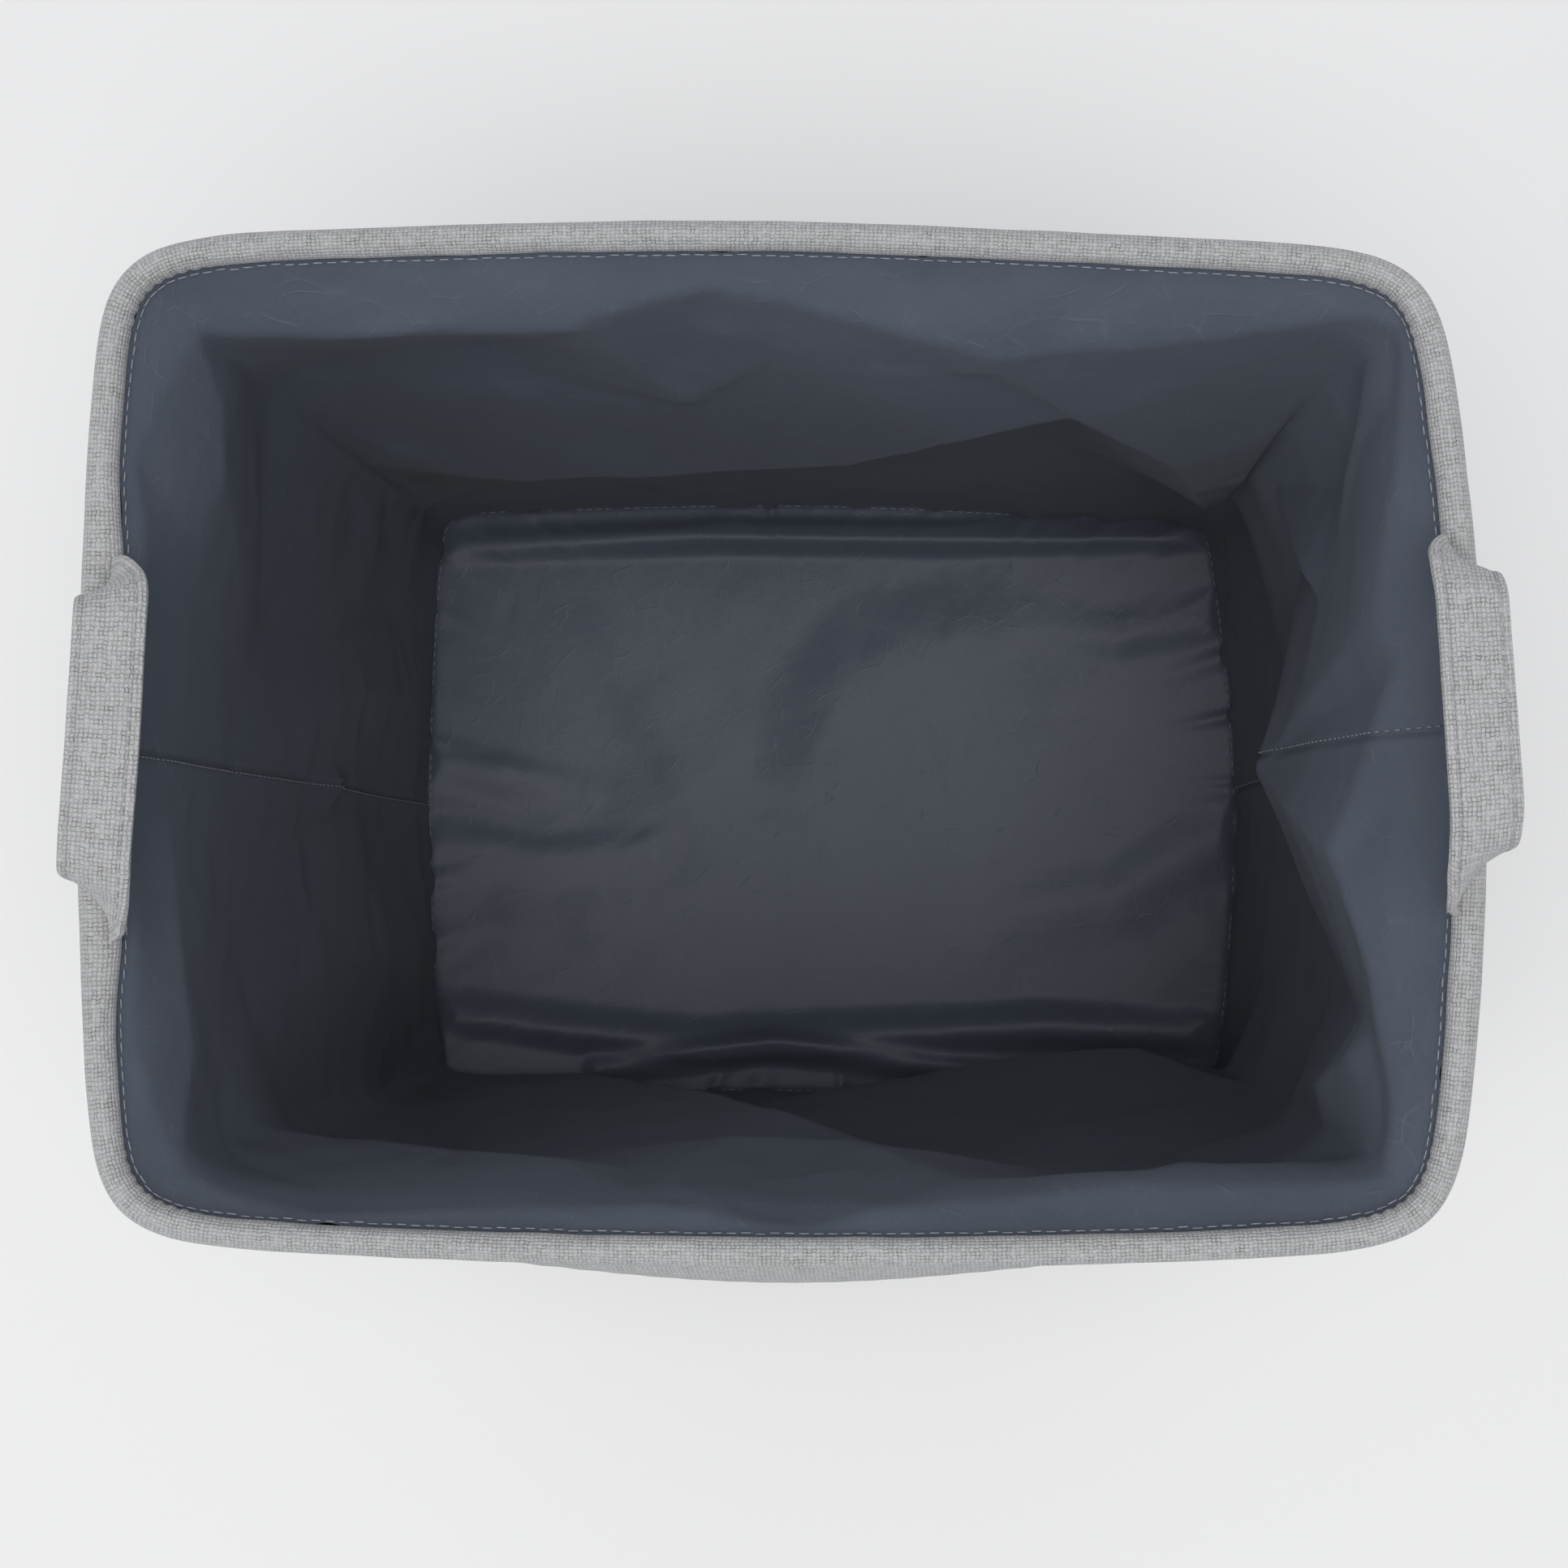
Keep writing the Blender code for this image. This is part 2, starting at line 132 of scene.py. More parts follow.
def outward(turn, inset=0.0):
    """Unit vectors (x, y) pointing out of the outline."""
    step = 1e-3
    along = outline(turn + step, inset) - outline(turn - step, inset)
    normal = np.stack([along[..., 1], -along[..., 0]], -1)
    return normal / np.linalg.norm(normal, axis=-1, keepdims=True)


def level_out(turn):
    """Unit vectors (x, y, 0) pointing out of the outline."""
    out = outward(turn)
    return at_height(out, np.zeros(out.shape[:-1]))


def at_height(xy, z):
    """Points (x, y) and their heights as points (x, y, z)."""
    return np.concatenate([xy, z[..., None]], -1)


def evenly_round(pitch):
    """Distances of whole, even steps of about one pitch round the outline."""
    count = int(AROUND / pitch)
    return (np.arange(count) + 0.5) / count * AROUND


# --- meshes ---


def ripples(u, v, seed, cell, period=None):
    """Smooth noise from -1 to 1 at points (u, v): random heights on a lattice, joined by cosine steps.

    With a period, the cells are sized to repeat along u.
    """
    lattice = np.random.default_rng(seed).uniform(-1, 1, (97, 97))
    count = 97 if period is None else max(1, min(97, round(period / cell)))
    a = u / cell if period is None else u / period * count
    a, b = np.broadcast_arrays(a + 0.31, v / cell + 40.37)
    i, j = np.floor(a).astype(int), np.floor(b).astype(int)
    fa, fb = (1 - np.cos(math.pi * (a - i))) / 2, (1 - np.cos(math.pi * (b - j))) / 2
    i0, i1, j0, j1 = i % count, (i + 1) % count, j % 97, (j + 1) % 97
    low = lattice[i0, j0] * (1 - fa) + lattice[i1, j0] * fa
    high = lattice[i0, j1] * (1 - fa) + lattice[i1, j1] * fa
    return low * (1 - fb) + high * fb


def put_mesh(name, points, faces, finish, uv=None, body=None):
    """One mesh object from vertex and face arrays, smooth shaded, with uv given for each vertex."""
    mesh = bpy.data.meshes.new(name)
    mesh.from_pydata(np.asarray(points, float).reshape(-1, 3).tolist(), [], np.asarray(faces).tolist())
    mesh.polygons.foreach_set("use_smooth", np.ones(len(mesh.polygons), bool))
    if uv is not None:
        corner = np.zeros(len(mesh.loops), int)
        mesh.loops.foreach_get("vertex_index", corner)
        layer = mesh.uv_layers.new(name="cloth")
        layer.data.foreach_set("uv", np.asarray(uv, float).reshape(-1, 2)[corner].ravel())
    mesh.materials.append(finish)
    mesh.update()
    obj = bpy.data.objects.new(name, mesh)
    bpy.context.scene.collection.objects.link(obj)
    if body:
        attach(obj, body)
    return obj


def grid_faces(rows, columns, close_rows=False, close_columns=False):
    """Quads of a grid of points[row, column], turned so that row x column points outwards."""
    r = np.arange(rows if close_rows else rows - 1)[:, None]
    c = np.arange(columns if close_columns else columns - 1)[None, :]
    r2, c2 = (r + 1) % rows, (c + 1) % columns
    corners = [r * columns + c, r2 * columns + c, r2 * columns + c2, r * columns + c2]
    return np.stack([np.broadcast_to(k, (r.size, c.size)) for k in corners], -1).reshape(-1, 4)


def put_grid(name, points, uv, finish, body=None, **closed):
    """A grid surface from points[row, column]."""
    rows, columns = points.shape[:2]
    return put_mesh(name, points, grid_faces(rows, columns, **closed), finish, uv, body)


def thicken(obj, thickness, offset=-1.0):
    solid = obj.modifiers.new("cloth", "SOLIDIFY")
    solid.thickness = thickness
    solid.offset = offset
    return obj


def fold_down(obj):
    """Gives a wall piece its own copy of its mesh."""
    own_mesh(obj)


def capsules(name, centres, along, out, length, radius, finish, body=None):
    """Stitches: small round-ended rods lying along `along`, flattened against the cloth towards `out`."""
    rings = np.array([(-0.5, 0.0), (-0.44, 0.75), (-0.2, 1.0), (0.2, 1.0), (0.44, 0.75), (0.5, 0.0)])
    sides = 6
    angle = np.arange(sides) * TWO_PI / sides
    centres, along, out = (np.asarray(a, float).reshape(-1, 3) for a in (centres, along, out))
    along = along / np.linalg.norm(along, axis=1, keepdims=True)
    across = np.cross(out, along)
    across /= np.linalg.norm(across, axis=1, keepdims=True)
    out = np.cross(along, across)
    reach = rings[:, 0][None, :, None, None] * length * along[:, None, None, :]
    girth = (rings[:, 1] * radius)[:, None, None]
    side = girth * np.cos(angle)[:, None] * across[:, None, None, :]
    rise = girth * np.sin(angle)[:, None] * out[:, None, None, :]
    points = centres[:, None, None, :] + reach + side + 0.8 * rise
    one = grid_faces(len(rings), sides, close_columns=True)[:, ::-1]
    stride = len(rings) * sides
    faces = (one[None] + stride * np.arange(len(centres))[:, None, None]).reshape(-1, 4)
    return put_mesh(name, points, faces, finish, None, body)


# --- materials ---


class Nodes:
    """A short way to write a material's node tree."""

    def __init__(self, name, roughness, metallic=0.0, sheen=0.0, specular=0.5):
        self.material = bpy.data.materials.new(name)
        self.material.use_nodes = True
        self.tree = self.material.node_tree
        self.shader = self.tree.nodes["Principled BSDF"]
        self.shader.inputs["Roughness"].default_value = roughness
        self.shader.inputs["Metallic"].default_value = metallic
        self.shader.inputs["Specular IOR Level"].default_value = specular
        self.shader.inputs["Sheen Weight"].default_value = sheen
        self.shader.inputs["Sheen Roughness"].default_value = 0.4

    def add(self, kind, **settings):
        node = self.tree.nodes.new(kind)
        for key, value in settings.items():
            setattr(node, key, value)
        return node

    def link(self, source, target):
        self.tree.links.new(source, target)

    def math(self, operation, *values, clamp=False):
        node = self.add("ShaderNodeMath", operation=operation, use_clamp=clamp)
        for slot, value in zip(node.inputs, values):
            if isinstance(value, (int, float)):
                slot.default_value = value
            else:
                self.link(value, slot)
        return node.outputs[0]

    def times(self, a, b, clamp=False):
        return self.math("MULTIPLY", a, b, clamp=clamp)

    def scaled(self, a, b, c, clamp=False):
        """a x b + c."""
        return self.math("MULTIPLY_ADD", a, b, c, clamp=clamp)

    def wave(self, value, length):
        """A sine wave of the given length."""
        return self.math("SINE", self.times(value, TWO_PI / length))

    def mix(self, share, low, high):
        """low + share x (high - low), for numbers."""
        return self.scaled(share, self.math("SUBTRACT", high, low), low)

    def plane(self, source):
        """The two pattern coordinates in metres: the piece's own cloth UV, or object X and Y."""
        if source == "uv":
            out = self.add("ShaderNodeUVMap", uv_map="cloth").outputs[0]
        else:
            out = self.add("ShaderNodeTexCoord").outputs["Object"]
        split = self.add("ShaderNodeSeparateXYZ")
        self.link(out, split.inputs[0])
        first, second = {"uv": (0, 1), "object": (0, 1), "object_xz": (0, 2)}[source]
        return split.outputs[first], split.outputs[second]

    def point(self, u, v):
        join = self.add("ShaderNodeCombineXYZ")
        self.link(u, join.inputs[0])
        self.link(v, join.inputs[1])
        return join.outputs[0]

    def noise(self, u, v, scale_u, scale_v, detail=2.0, roughness=0.5):
        """Noise from 0 to 1 with its own scale along u and v."""
        node = self.add("ShaderNodeTexNoise")
        node.inputs["Scale"].default_value = 1.0
        node.inputs["Detail"].default_value = detail
        node.inputs["Roughness"].default_value = roughness
        self.link(self.point(self.times(u, scale_u), self.times(v, scale_v)), node.inputs["Vector"])
        return node.outputs[0]

    def ramp(self, value, stops):
        node = self.add("ShaderNodeValToRGB")
        ramp = node.color_ramp
        while len(ramp.elements) < len(stops):
            ramp.elements.new(0.5)
        for element, (place, colour) in zip(ramp.elements, stops):
            element.position = place
            element.color = (*colour, 1.0)
        self.link(value, node.inputs[0])
        return node.outputs[0]

    def tinted(self, colour, tone):
        """A colour times a grey tone."""
        grey = self.add("ShaderNodeCombineColor")
        for slot in grey.inputs[:3]:
            self.link(tone, slot)
        node = self.add("ShaderNodeMix", data_type="RGBA", blend_type="MULTIPLY")
        node.inputs[0].default_value = 1.0
        node.inputs[6].default_value = (*colour, 1.0)
        self.link(grey.outputs[0], node.inputs[7])
        return node.outputs[2]

    def finish(self, colour, height=None, distance=0.001, strength=1.0):
        if isinstance(colour, tuple):
            self.shader.inputs["Base Color"].default_value = (*colour, 1.0)
        else:
            self.link(colour, self.shader.inputs["Base Color"])
        if height is not None:
            bump = self.add("ShaderNodeBump")
            bump.inputs["Distance"].default_value = distance
            bump.inputs["Strength"].default_value = strength
            self.link(height, bump.inputs["Height"])
            self.link(bump.outputs[0], self.shader.inputs["Normal"])
        return self.material


def woven(name, source="uv"):
    """Linen-look plain weave: two sets of uneven threads that cross over each other, with painted shade
    darkening the gaps between them.
    """
    n = Nodes(name, roughness=0.9, sheen=0.25, specular=0.25)
    u, v = n.plane(source)
    wander_u = n.noise(u, v, 90, 420, 1.0)
    wander_v = n.noise(u, v, 420, 90, 1.0)
    a = n.math("ADD", n.math("DIVIDE", u, WEAVE_PITCH), n.times(wander_u, 0.9))
    b = n.math("ADD", n.math("DIVIDE", v, WEAVE_PITCH), n.times(wander_v, 0.9))
    wave_a = n.math("SINE", n.times(a, math.pi))
    wave_b = n.math("SINE", n.times(b, math.pi))
    over = n.scaled(n.times(wave_a, wave_b), 4.0, 0.5, clamp=True)
    ridge_a = n.math("POWER", n.math("ABSOLUTE", wave_a), 0.75)
    ridge_b = n.math("POWER", n.math("ABSOLUTE", wave_b), 0.75)
    up = n.times(ridge_a, n.scaled(ridge_b, 0.45, 0.55))
    side = n.times(ridge_b, n.scaled(ridge_a, 0.45, 0.55))
    height = n.mix(over, side, up)
    slub_a = n.noise(n.math("FLOOR", a), v, 3.7, 45, 2.0)
    slub_b = n.noise(u, n.math("FLOOR", b), 45, 3.7, 2.0)
    slub = n.mix(over, slub_b, slub_a)
    fleck = n.noise(u, v, 1500, 1500, 2.0)
    tone = n.math("ADD", n.times(slub, 0.62), n.times(fleck, 0.38))
    # Painted shade: in cells where the weave is loose, the colour darkens as the threads dip into the gaps.
    tightness = n.noise(n.math("FLOOR", a), n.math("FLOOR", b), 3.7, 4.3, 1.0)
    gap = n.times(n.math("SUBTRACT", tightness, 0.32), 3.2, clamp=True)
    painted_gap_shade = n.mix(gap, 1, n.math("POWER", height, 0.7))
    shade = n.times(painted_gap_shade, n.scaled(tone, 1.4, 0.20))
    cloudy = n.noise(u, v, 14, 14, 3.0)
    shade = n.times(shade, n.scaled(cloudy, 0.16, 0.92))
    middle = tuple((3 * light + dark) / 4 * 0.88 for light, dark in zip(LINEN, LINEN_GAP_SHADE))
    # The ramp runs from the painted gap shade up to the linen's own colour; random thread tone moves it too.
    colour = n.ramp(shade, [(0.14, LINEN_GAP_SHADE), (0.50, middle), (0.95, LINEN)])
    return n.finish(colour, height, distance=0.00045, strength=0.9)


def lining_cloth():
    """Coated nylon: fine twill lines, a cloudy tone and creases where it was crumpled, with a painted glint
    making them thin and pale.
    """
    n = Nodes("slate_lining", roughness=0.46, sheen=0.05, specular=0.4)
    u, v = n.plane("uv")
    diagonal = n.math("ADD", u, v)
    counter = n.math("SUBTRACT", u, v)
    twill = n.wave(diagonal, TWILL_PITCH)
    streak = n.noise(diagonal, counter, 900, 70, 2.0)
    cloudy = n.noise(u, v, 9, 9, 4.0, 0.6)
    bend_u = n.scaled(n.noise(u, v, 12, 12, 3.0), 0.05, u)
    bend_v = n.scaled(n.noise(v, u, 12, 12, 3.0), 0.05, v)
    bent = n.point(bend_u, bend_v)
    # The crease lines raise the bump and also carry a painted highlight in the colour.
    crease = 0.0
    for scale, patch, shift in ((34, 60, 0.0), (62, 85, 0.37)):
        cracks = n.add("ShaderNodeTexVoronoi", feature="DISTANCE_TO_EDGE")
        cracks.inputs["Scale"].default_value = scale
        n.link(bent, cracks.inputs["Vector"])
        line = n.scaled(cracks.outputs["Distance"], -1710 / scale, 1, clamp=True)
        spot = n.noise(n.math("ADD", u, shift), v, patch, patch, 2.0)
        some = n.times(n.math("SUBTRACT", spot, 0.50), 6.0, clamp=True)
        crease = n.scaled(line, some, crease)
    tone = n.scaled(twill, 0.06, n.scaled(streak, 0.16, 0.90))
    tone = n.times(tone, n.scaled(cloudy, 0.26, 0.86))
    # Painted highlight: the colour is lifted along the crease lines, a glint of the satin sheen painted in.
    tone = n.scaled(crease, 0.13, tone)
    colour = n.tinted(SLATE, tone)
    height = n.scaled(twill, 0.05, n.times(crease, 0.25))
    crumple = n.noise(u, v, 60, 60, 4.0, 0.6)
    height = n.scaled(crumple, 1.2, height)
    return n.finish(colour, height, distance=0.0006, strength=0.8)


def plain_cloth(name, colour, pitch=0.0009, source="uv"):
    """A tape or foam surface: a fine cross pattern and a cloudy tone on one colour."""
    n = Nodes(name, roughness=0.85, sheen=0.1, specular=0.3)
    u, v = n.plane(source)
    wave_u = n.wave(u, pitch)
    wave_v = n.wave(v, pitch)
    height = n.times(wave_u, wave_v)
    cloudy = n.noise(u, v, 60, 60, 3.0)
    tone = n.scaled(cloudy, 0.3, n.scaled(height, 0.04, 0.85))
    return n.finish(n.tinted(colour, tone), height, distance=0.0002, strength=0.6)


def pressed_board():
    """Grey pressed-fibre board with a speckled face."""
    n = Nodes("grey_board", roughness=0.85, specular=0.3)
    u, v = n.plane("object")
    speck = n.noise(u, v, 700, 500, 4.0, 0.7)
    colour = n.ramp(speck, [(0.3, (0.20, 0.19, 0.175)), (0.7, (0.36, 0.345, 0.32))])
    return n.finish(colour, speck, distance=0.0003, strength=0.5)


def drawn_wire():
    """Zinc-coated wire with faint lengthwise drawing marks."""
    n = Nodes("zinc_wire", roughness=0.35, metallic=1.0)
    u, v = n.plane("object")
    mark = n.noise(u, v, 300, 300, 3.0)
    colour = n.ramp(mark, [(0.3, (0.45, 0.45, 0.46)), (0.7, (0.66, 0.66, 0.67))])
    return n.finish(colour, mark, distance=0.0001, strength=0.4)


def thread(name, colour):
    """Sewing thread: two plies show as a faint diagonal tone."""
    n = Nodes(name, roughness=0.7, sheen=0.2, specular=0.3)
    u, v = n.plane("object")
    ply = n.noise(n.math("ADD", u, v), n.math("SUBTRACT", u, v), 2200, 300, 1.0)
    dim = tuple(0.6 * c for c in colour)
    return n.finish(n.ramp(ply, [(0.3, dim), (0.65, colour)]))


def navy_leather():
    """Label: smooth dark navy imitation leather with a fine pebble."""
    n = Nodes("navy_label", roughness=0.5, specular=0.4)
    u, v = n.plane("uv")
    pebble = n.add("ShaderNodeTexVoronoi")
    pebble.inputs["Scale"].default_value = 1300
    n.link(n.point(u, v), pebble.inputs["Vector"])
    tone = n.noise(u, v, 90, 90, 3.0)
    colour = n.ramp(tone, [(0.3, (0.020, 0.024, 0.042)), (0.7, (0.034, 0.040, 0.066))])
    return n.finish(colour, pebble.outputs["Distance"], distance=0.0003, strength=0.5)


# --- rim ---


def roll_width(turn):
    """Width of the rim roll in plan: 9 to 10 mm, swelling to 13 mm beside the left handle."""
    x, y = np.cos(turn), np.sin(turn)
    sideways = ease(np.abs(x) - np.abs(y), -0.12, 0.28)
    from_handle = np.abs(y / np.maximum(np.abs(x), 0.2) * RIM_DEPTH / 2 + HANDLE_SHIFT)
    padding = np.where(x < 0, HANDLE_PADDING, 0.0) * ease(HANDLE_SPAN / 2 + 0.040 - from_handle, 0.0, 0.040)
    return ROLL_WIDTH + (SIDE_FULLNESS + padding) * sideways


def inside_roll(turn, inset):
    """Points at a true distance `inset` in from the roll's outer edge."""
    half = roll_width(turn) / 2
    return outline(turn, half) - outward(turn) * (inset - half)[..., None]


def make_roll(linen):
    """Rim roll: an oval section, as wide as roll_width and 11 mm high, carried round the outline.

    point(s, f) = outline + (w/2) cos f outwards + h sin f upwards, plus lumps of up to 0.25 mm.
    """
    steps, sides = 1200, 40
    s = np.linspace(0, AROUND, steps + 1)
    turn = turn_at(s * (1 - 1e-9))
    around = np.linspace(0, TWO_PI, sides + 1)
    width = roll_width(turn)
    lump = 0.00022 * ripples(s[:, None], 0.02 * np.cos(around) + 0 * s[:, None], 11, 0.006, AROUND)
    bend = np.linalg.norm(outward(turn + 0.01) - outward(turn - 0.01), axis=-1)[:, None]
    inner = np.clip(-np.cos(around), 0, 1) ** 2
    pucker = 0.00035 * np.sin(s / PUCKER_PITCH * TWO_PI)[:, None] * inner * ease(bend, 0.02, 0.12)
    lump = lump + pucker
    centre = outline(turn, width / 2)
    out = outward(turn)
    reach = (width[:, None] / 2) * np.cos(around) + lump * np.cos(around)
    rise = ROLL_HALF_HEIGHT * np.sin(around) + lump * np.sin(around)
    points = np.empty((steps + 1, sides + 1, 3))
    points[..., :2] = centre[:, None, :] + out[:, None, :] * reach[..., None]
    points[..., 2] = HEIGHT - ROLL_HALF_HEIGHT + rise
    girth = TWO_PI * ROLL_HALF_HEIGHT
    uv = np.stack(np.broadcast_arrays(s[:, None] * 1.03, around[None, :] / TWO_PI * girth), -1)
    obj = put_grid("rim_roll", points, uv, linen, "rim")
    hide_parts("rim_hem")
    return obj


def make_rim_stitches(pale):
    """Topstitching just inside the roll, each stitch a little off line."""
    turn = turn_at(evenly_round(STITCH_PITCH))
    count = len(turn)
    jitter = np.random.default_rng(5).normal(0, 1, (count, 2))
    inset = roll_width(turn) + 0.0007
    xy = inside_roll(turn, inset) + outward(turn) * jitter[:, :1] * 0.00015
    along = inside_roll(turn + 1e-3, inset) - inside_roll(turn - 1e-3, inset)
    centres = np.column_stack([xy, np.full(count, HEIGHT - 0.0088)])
    direction = np.column_stack([along, jitter[:, 1] * 0.05 * np.linalg.norm(along, axis=1)])
    out = np.column_stack([-0.7 * outward(turn), np.full(count, 0.7)])
    obj = capsules("rim_stitches", centres, direction, out, STITCH_LENGTH, 0.00024, pale, "rim")


# --- lining ---

# Each fold is a crest over the lining, in millimetres: (x or y, z, push inwards) at its points on one wall,
# then how far it takes to die out above and below. x runs along the front and back walls, y along the sides.
FOLDS = [
    # the band under the rim, which leans in and then drops back
    ("left", [(150, 553, 11), (115, 524, 17), (95, 517, 17), (72, 528, 11), (45, 545, 4)], 60, 140),
    ("left", [(-15, 545, 3), (-30, 537, 8), (-102, 532, 12), (-134, 550, 10)], 50, 130),
    ("back", [(-200, 536, 10), (-178, 547, 15), (-149, 553, 18), (-117, 553, 18), (-80, 548, 18),
        (-62, 534, 16)], 50, 120),
    ("back", [(-62, 532, 16), (-50, 474, 21), (-37, 452, 24), (-12, 486, 20), (9, 528, 14)], 100, 70),
    ("back", [(9, 528, 14), (44, 502, 21), (74, 516, 24), (106, 467, 31), (143, 407, 36),
        (156, 360, 38), (168, 290, 30)], 140, 65),
    # the deep belly low on the back wall, and its tail to the corner
    ("back", [(-190, 150, 6), (-150, 262, 18), (-119, 312, 30), (-83, 334, 34), (-47, 338, 34),
        (19, 382, 35), (64, 441, 34), (105, 470, 28)], 190, 110),
    # the right wall's pointed facet, its tip on the side seam
    ("right", [(62, 562, 6), (47, 539, 15), (34, 516, 23), (15, 462, 32), (-3, 412, 40)], 55, 120),
    ("right", [(-3, 412, 40), (-20, 470, 36), (-35, 515, 29), (-69, 546, 20), (-98, 562, 13),
        (-123, 568, 7)], 120, 85),
    ("right", [(-88, 545, 10), (-104, 515, 18), (-118, 470, 20), (-124, 380, 12)], 70, 40),
    # narrow folds on the right wall towards the back corner
    ("right", [(145, 480, 8), (152, 345, 24), (125, 330, 22)], 50, 45),
    ("right", [(104, 390, 20), (70, 440, 24), (40, 490, 16)], 50, 40),
    ("right", [(117, 536, 10), (80, 480, 15)], 45, 30),
    # the front wall's band, two raised folds under it and the slack below
    ("front", [(-196, 455, 11), (-152, 460, 14), (-110, 484, 14), (-74, 508, 13), (-42, 550, 8)], 110, 90),
    ("front", [(-42, 550, 8), (-23, 450, 18), (21, 457, 18), (62, 532, 12), (113, 542, 12),
        (165, 532, 12)], 90, 80),
    ("front", [(-195, 40, 5), (-121, 85, 13), (-46, 260, 20), (5, 400, 18)], 120, 55),
    ("front", [(30, 160, 10), (80, 100, 22), (150, 130, 26), (188, 240, 14)], 140, 65),
    # soft upright swells of the left wall, and the pinch in its seam
    ("left", [(110, 420, 4), (150, 250, 16), (158, 120, 10)], 60, 50),
    ("left", [(10, 400, 4), (39, 240, 14), (45, 90, 8)], 60, 60),
    ("left", [(-90, 400, 4), (-75, 220, 10), (-80, 60, 6)], 80, 70),
    ("left", [(-3, 330, 4), (-3, 285, 12), (4, 235, 4)], 20, 20),
]
BAND_SLOPE, SEAM_SLOPE = 0.50, 0.45  # the steepest the lining leans in, from the rim and from the floor seam


def crest_push(u, v, points, above, below, period=None, rounded=False):
    """The push of one fold at (u, v): the crest's push, falling in a straight line to nothing on both sides.

    The crest joins points (u, v, push) with straight lines; above is on the left of its direction of travel.
    """
    most = np.zeros(np.broadcast(u, v).shape)
    for (u0, v0, p0), (u1, v1, p1) in zip(points, points[1:]):
        if period:
            if np.mod(u1 - u0, period) > period / 2:
                u0, v0, p0, u1, v1, p1 = u1, v1, p1, u0, v0, p0
            u1 = u0 + np.mod(u1 - u0, period)
            run = np.mod(u - u0 + period / 2, period) - period / 2
        else:
            run = u - u0
        du, dv = u1 - u0, v1 - v0
        rise = v - v0
        share = np.clip((run * du + rise * dv) / (du * du + dv * dv), 0, 1)
        off_u, off_v = run - share * du, rise - share * dv
        off = np.hypot(off_u, off_v) + 1e-9
        side = (du * off_v - dv * off_u) / (math.hypot(du, dv) * off)
        fade = np.clip(1 - off / ((above + below + side * (above - below)) / 2), 0, 1)
        if rounded:
            fade = fade * fade * (3 - 2 * fade)
        most = np.maximum(most, (p0 + share * (p1 - p0)) * fade)
    return most


def little_creases(u, v, seed, count, low, high, period=None):
    """Many small straight creases at random: ridges and dents 0.4 to 1.6 mm high and 15 to 70 mm long."""
    rng = np.random.default_rng(seed)
    total = np.zeros(np.broadcast(u, v).shape)
    for _ in range(count):
        a, b = (rng.uniform(lo, hi) for lo, hi in zip(low, high))
        lean, size, wide = rng.uniform(0, math.pi), rng.uniform(0.0004, 0.0016), rng.uniform(0.006, 0.020)
        reach = rng.uniform(0.015, 0.070) / 2
        du, dv = reach * math.cos(lean), reach * math.sin(lean)
        ends = [(a - du, b - dv, 0.0), (a, b, size), (a + du, b + dv, 0.0)]
        sign, narrow = rng.choice((-1, 1)), wide * rng.uniform(0.3, 1.0)
        total = total + sign * crest_push(u, v, ends, wide, narrow, period)
    return total


def softened(field, times):
    """Rounds creases: each point moves half way to the mean of its four neighbours, `times` over."""
    for _ in range(times):
        padded = np.pad(field, 1, mode="edge")
        mean = (padded[:-2, 1:-1] + padded[2:, 1:-1] + padded[1:-1, :-2] + padded[1:-1, 2:]) / 4
        field = (field + mean) / 2
    return field


def pleats(s, seed, spacing):
    """Gathers along a seam: narrow peaks of uneven height at uneven places, from 0 to 1."""
    rng = np.random.default_rng(seed)
    total = np.zeros_like(s)
    for place in np.arange(0, AROUND, spacing):
        centre = place + rng.uniform(-0.4, 0.4) * spacing
        width, size = rng.uniform(0.0025, 0.008), rng.uniform(0.1, 1.0) ** 2
        off = np.mod(s - centre + AROUND / 2, AROUND) - AROUND / 2
        total = np.maximum(total, size * np.exp(-((off / width) ** 2)))
    return total


def lining_push(s, z):
    """How far the lining stands in from its plain outline."""
    push = np.zeros_like(z)
    for wall, crest, above, below in FOLDS:
        points = [(float(distance_at(wall, a / MM)), height / MM, most / MM) for a, height, most in crest]
        push = np.maximum(push, crest_push(s, z, points, above / MM, below / MM, AROUND))
    push = np.minimum(push, BAND_SLOPE * (LINING_TOP - z) + 0.0004)
    drop = LINING_TOP - z
    push = push + 0.0018 * (1 + ripples(s, z, 21, 0.065, AROUND)) * ease(drop, 0, 0.04)
    push = push + 0.0007 * ripples(s, z, 22, 0.021, AROUND) * ease(drop, 0, 0.012)
    push = push + little_creases(s, z, 23, 150, (0, 0.04), (AROUND, 0.56), AROUND) * ease(drop, 0, 0.01)
    push = np.minimum(push, SEAM_SLOPE * (z - LINING_BOTTOM))
    push = softened(np.maximum(push, -0.0015), 1)
    push = push + 0.0050 * pleats(s, 31, 0.026) * np.exp(-z / 0.024)
    push = push + 0.0013 * pleats(s, 32, 0.020) * np.exp(-(LINING_TOP - z) / 0.010)
    return push


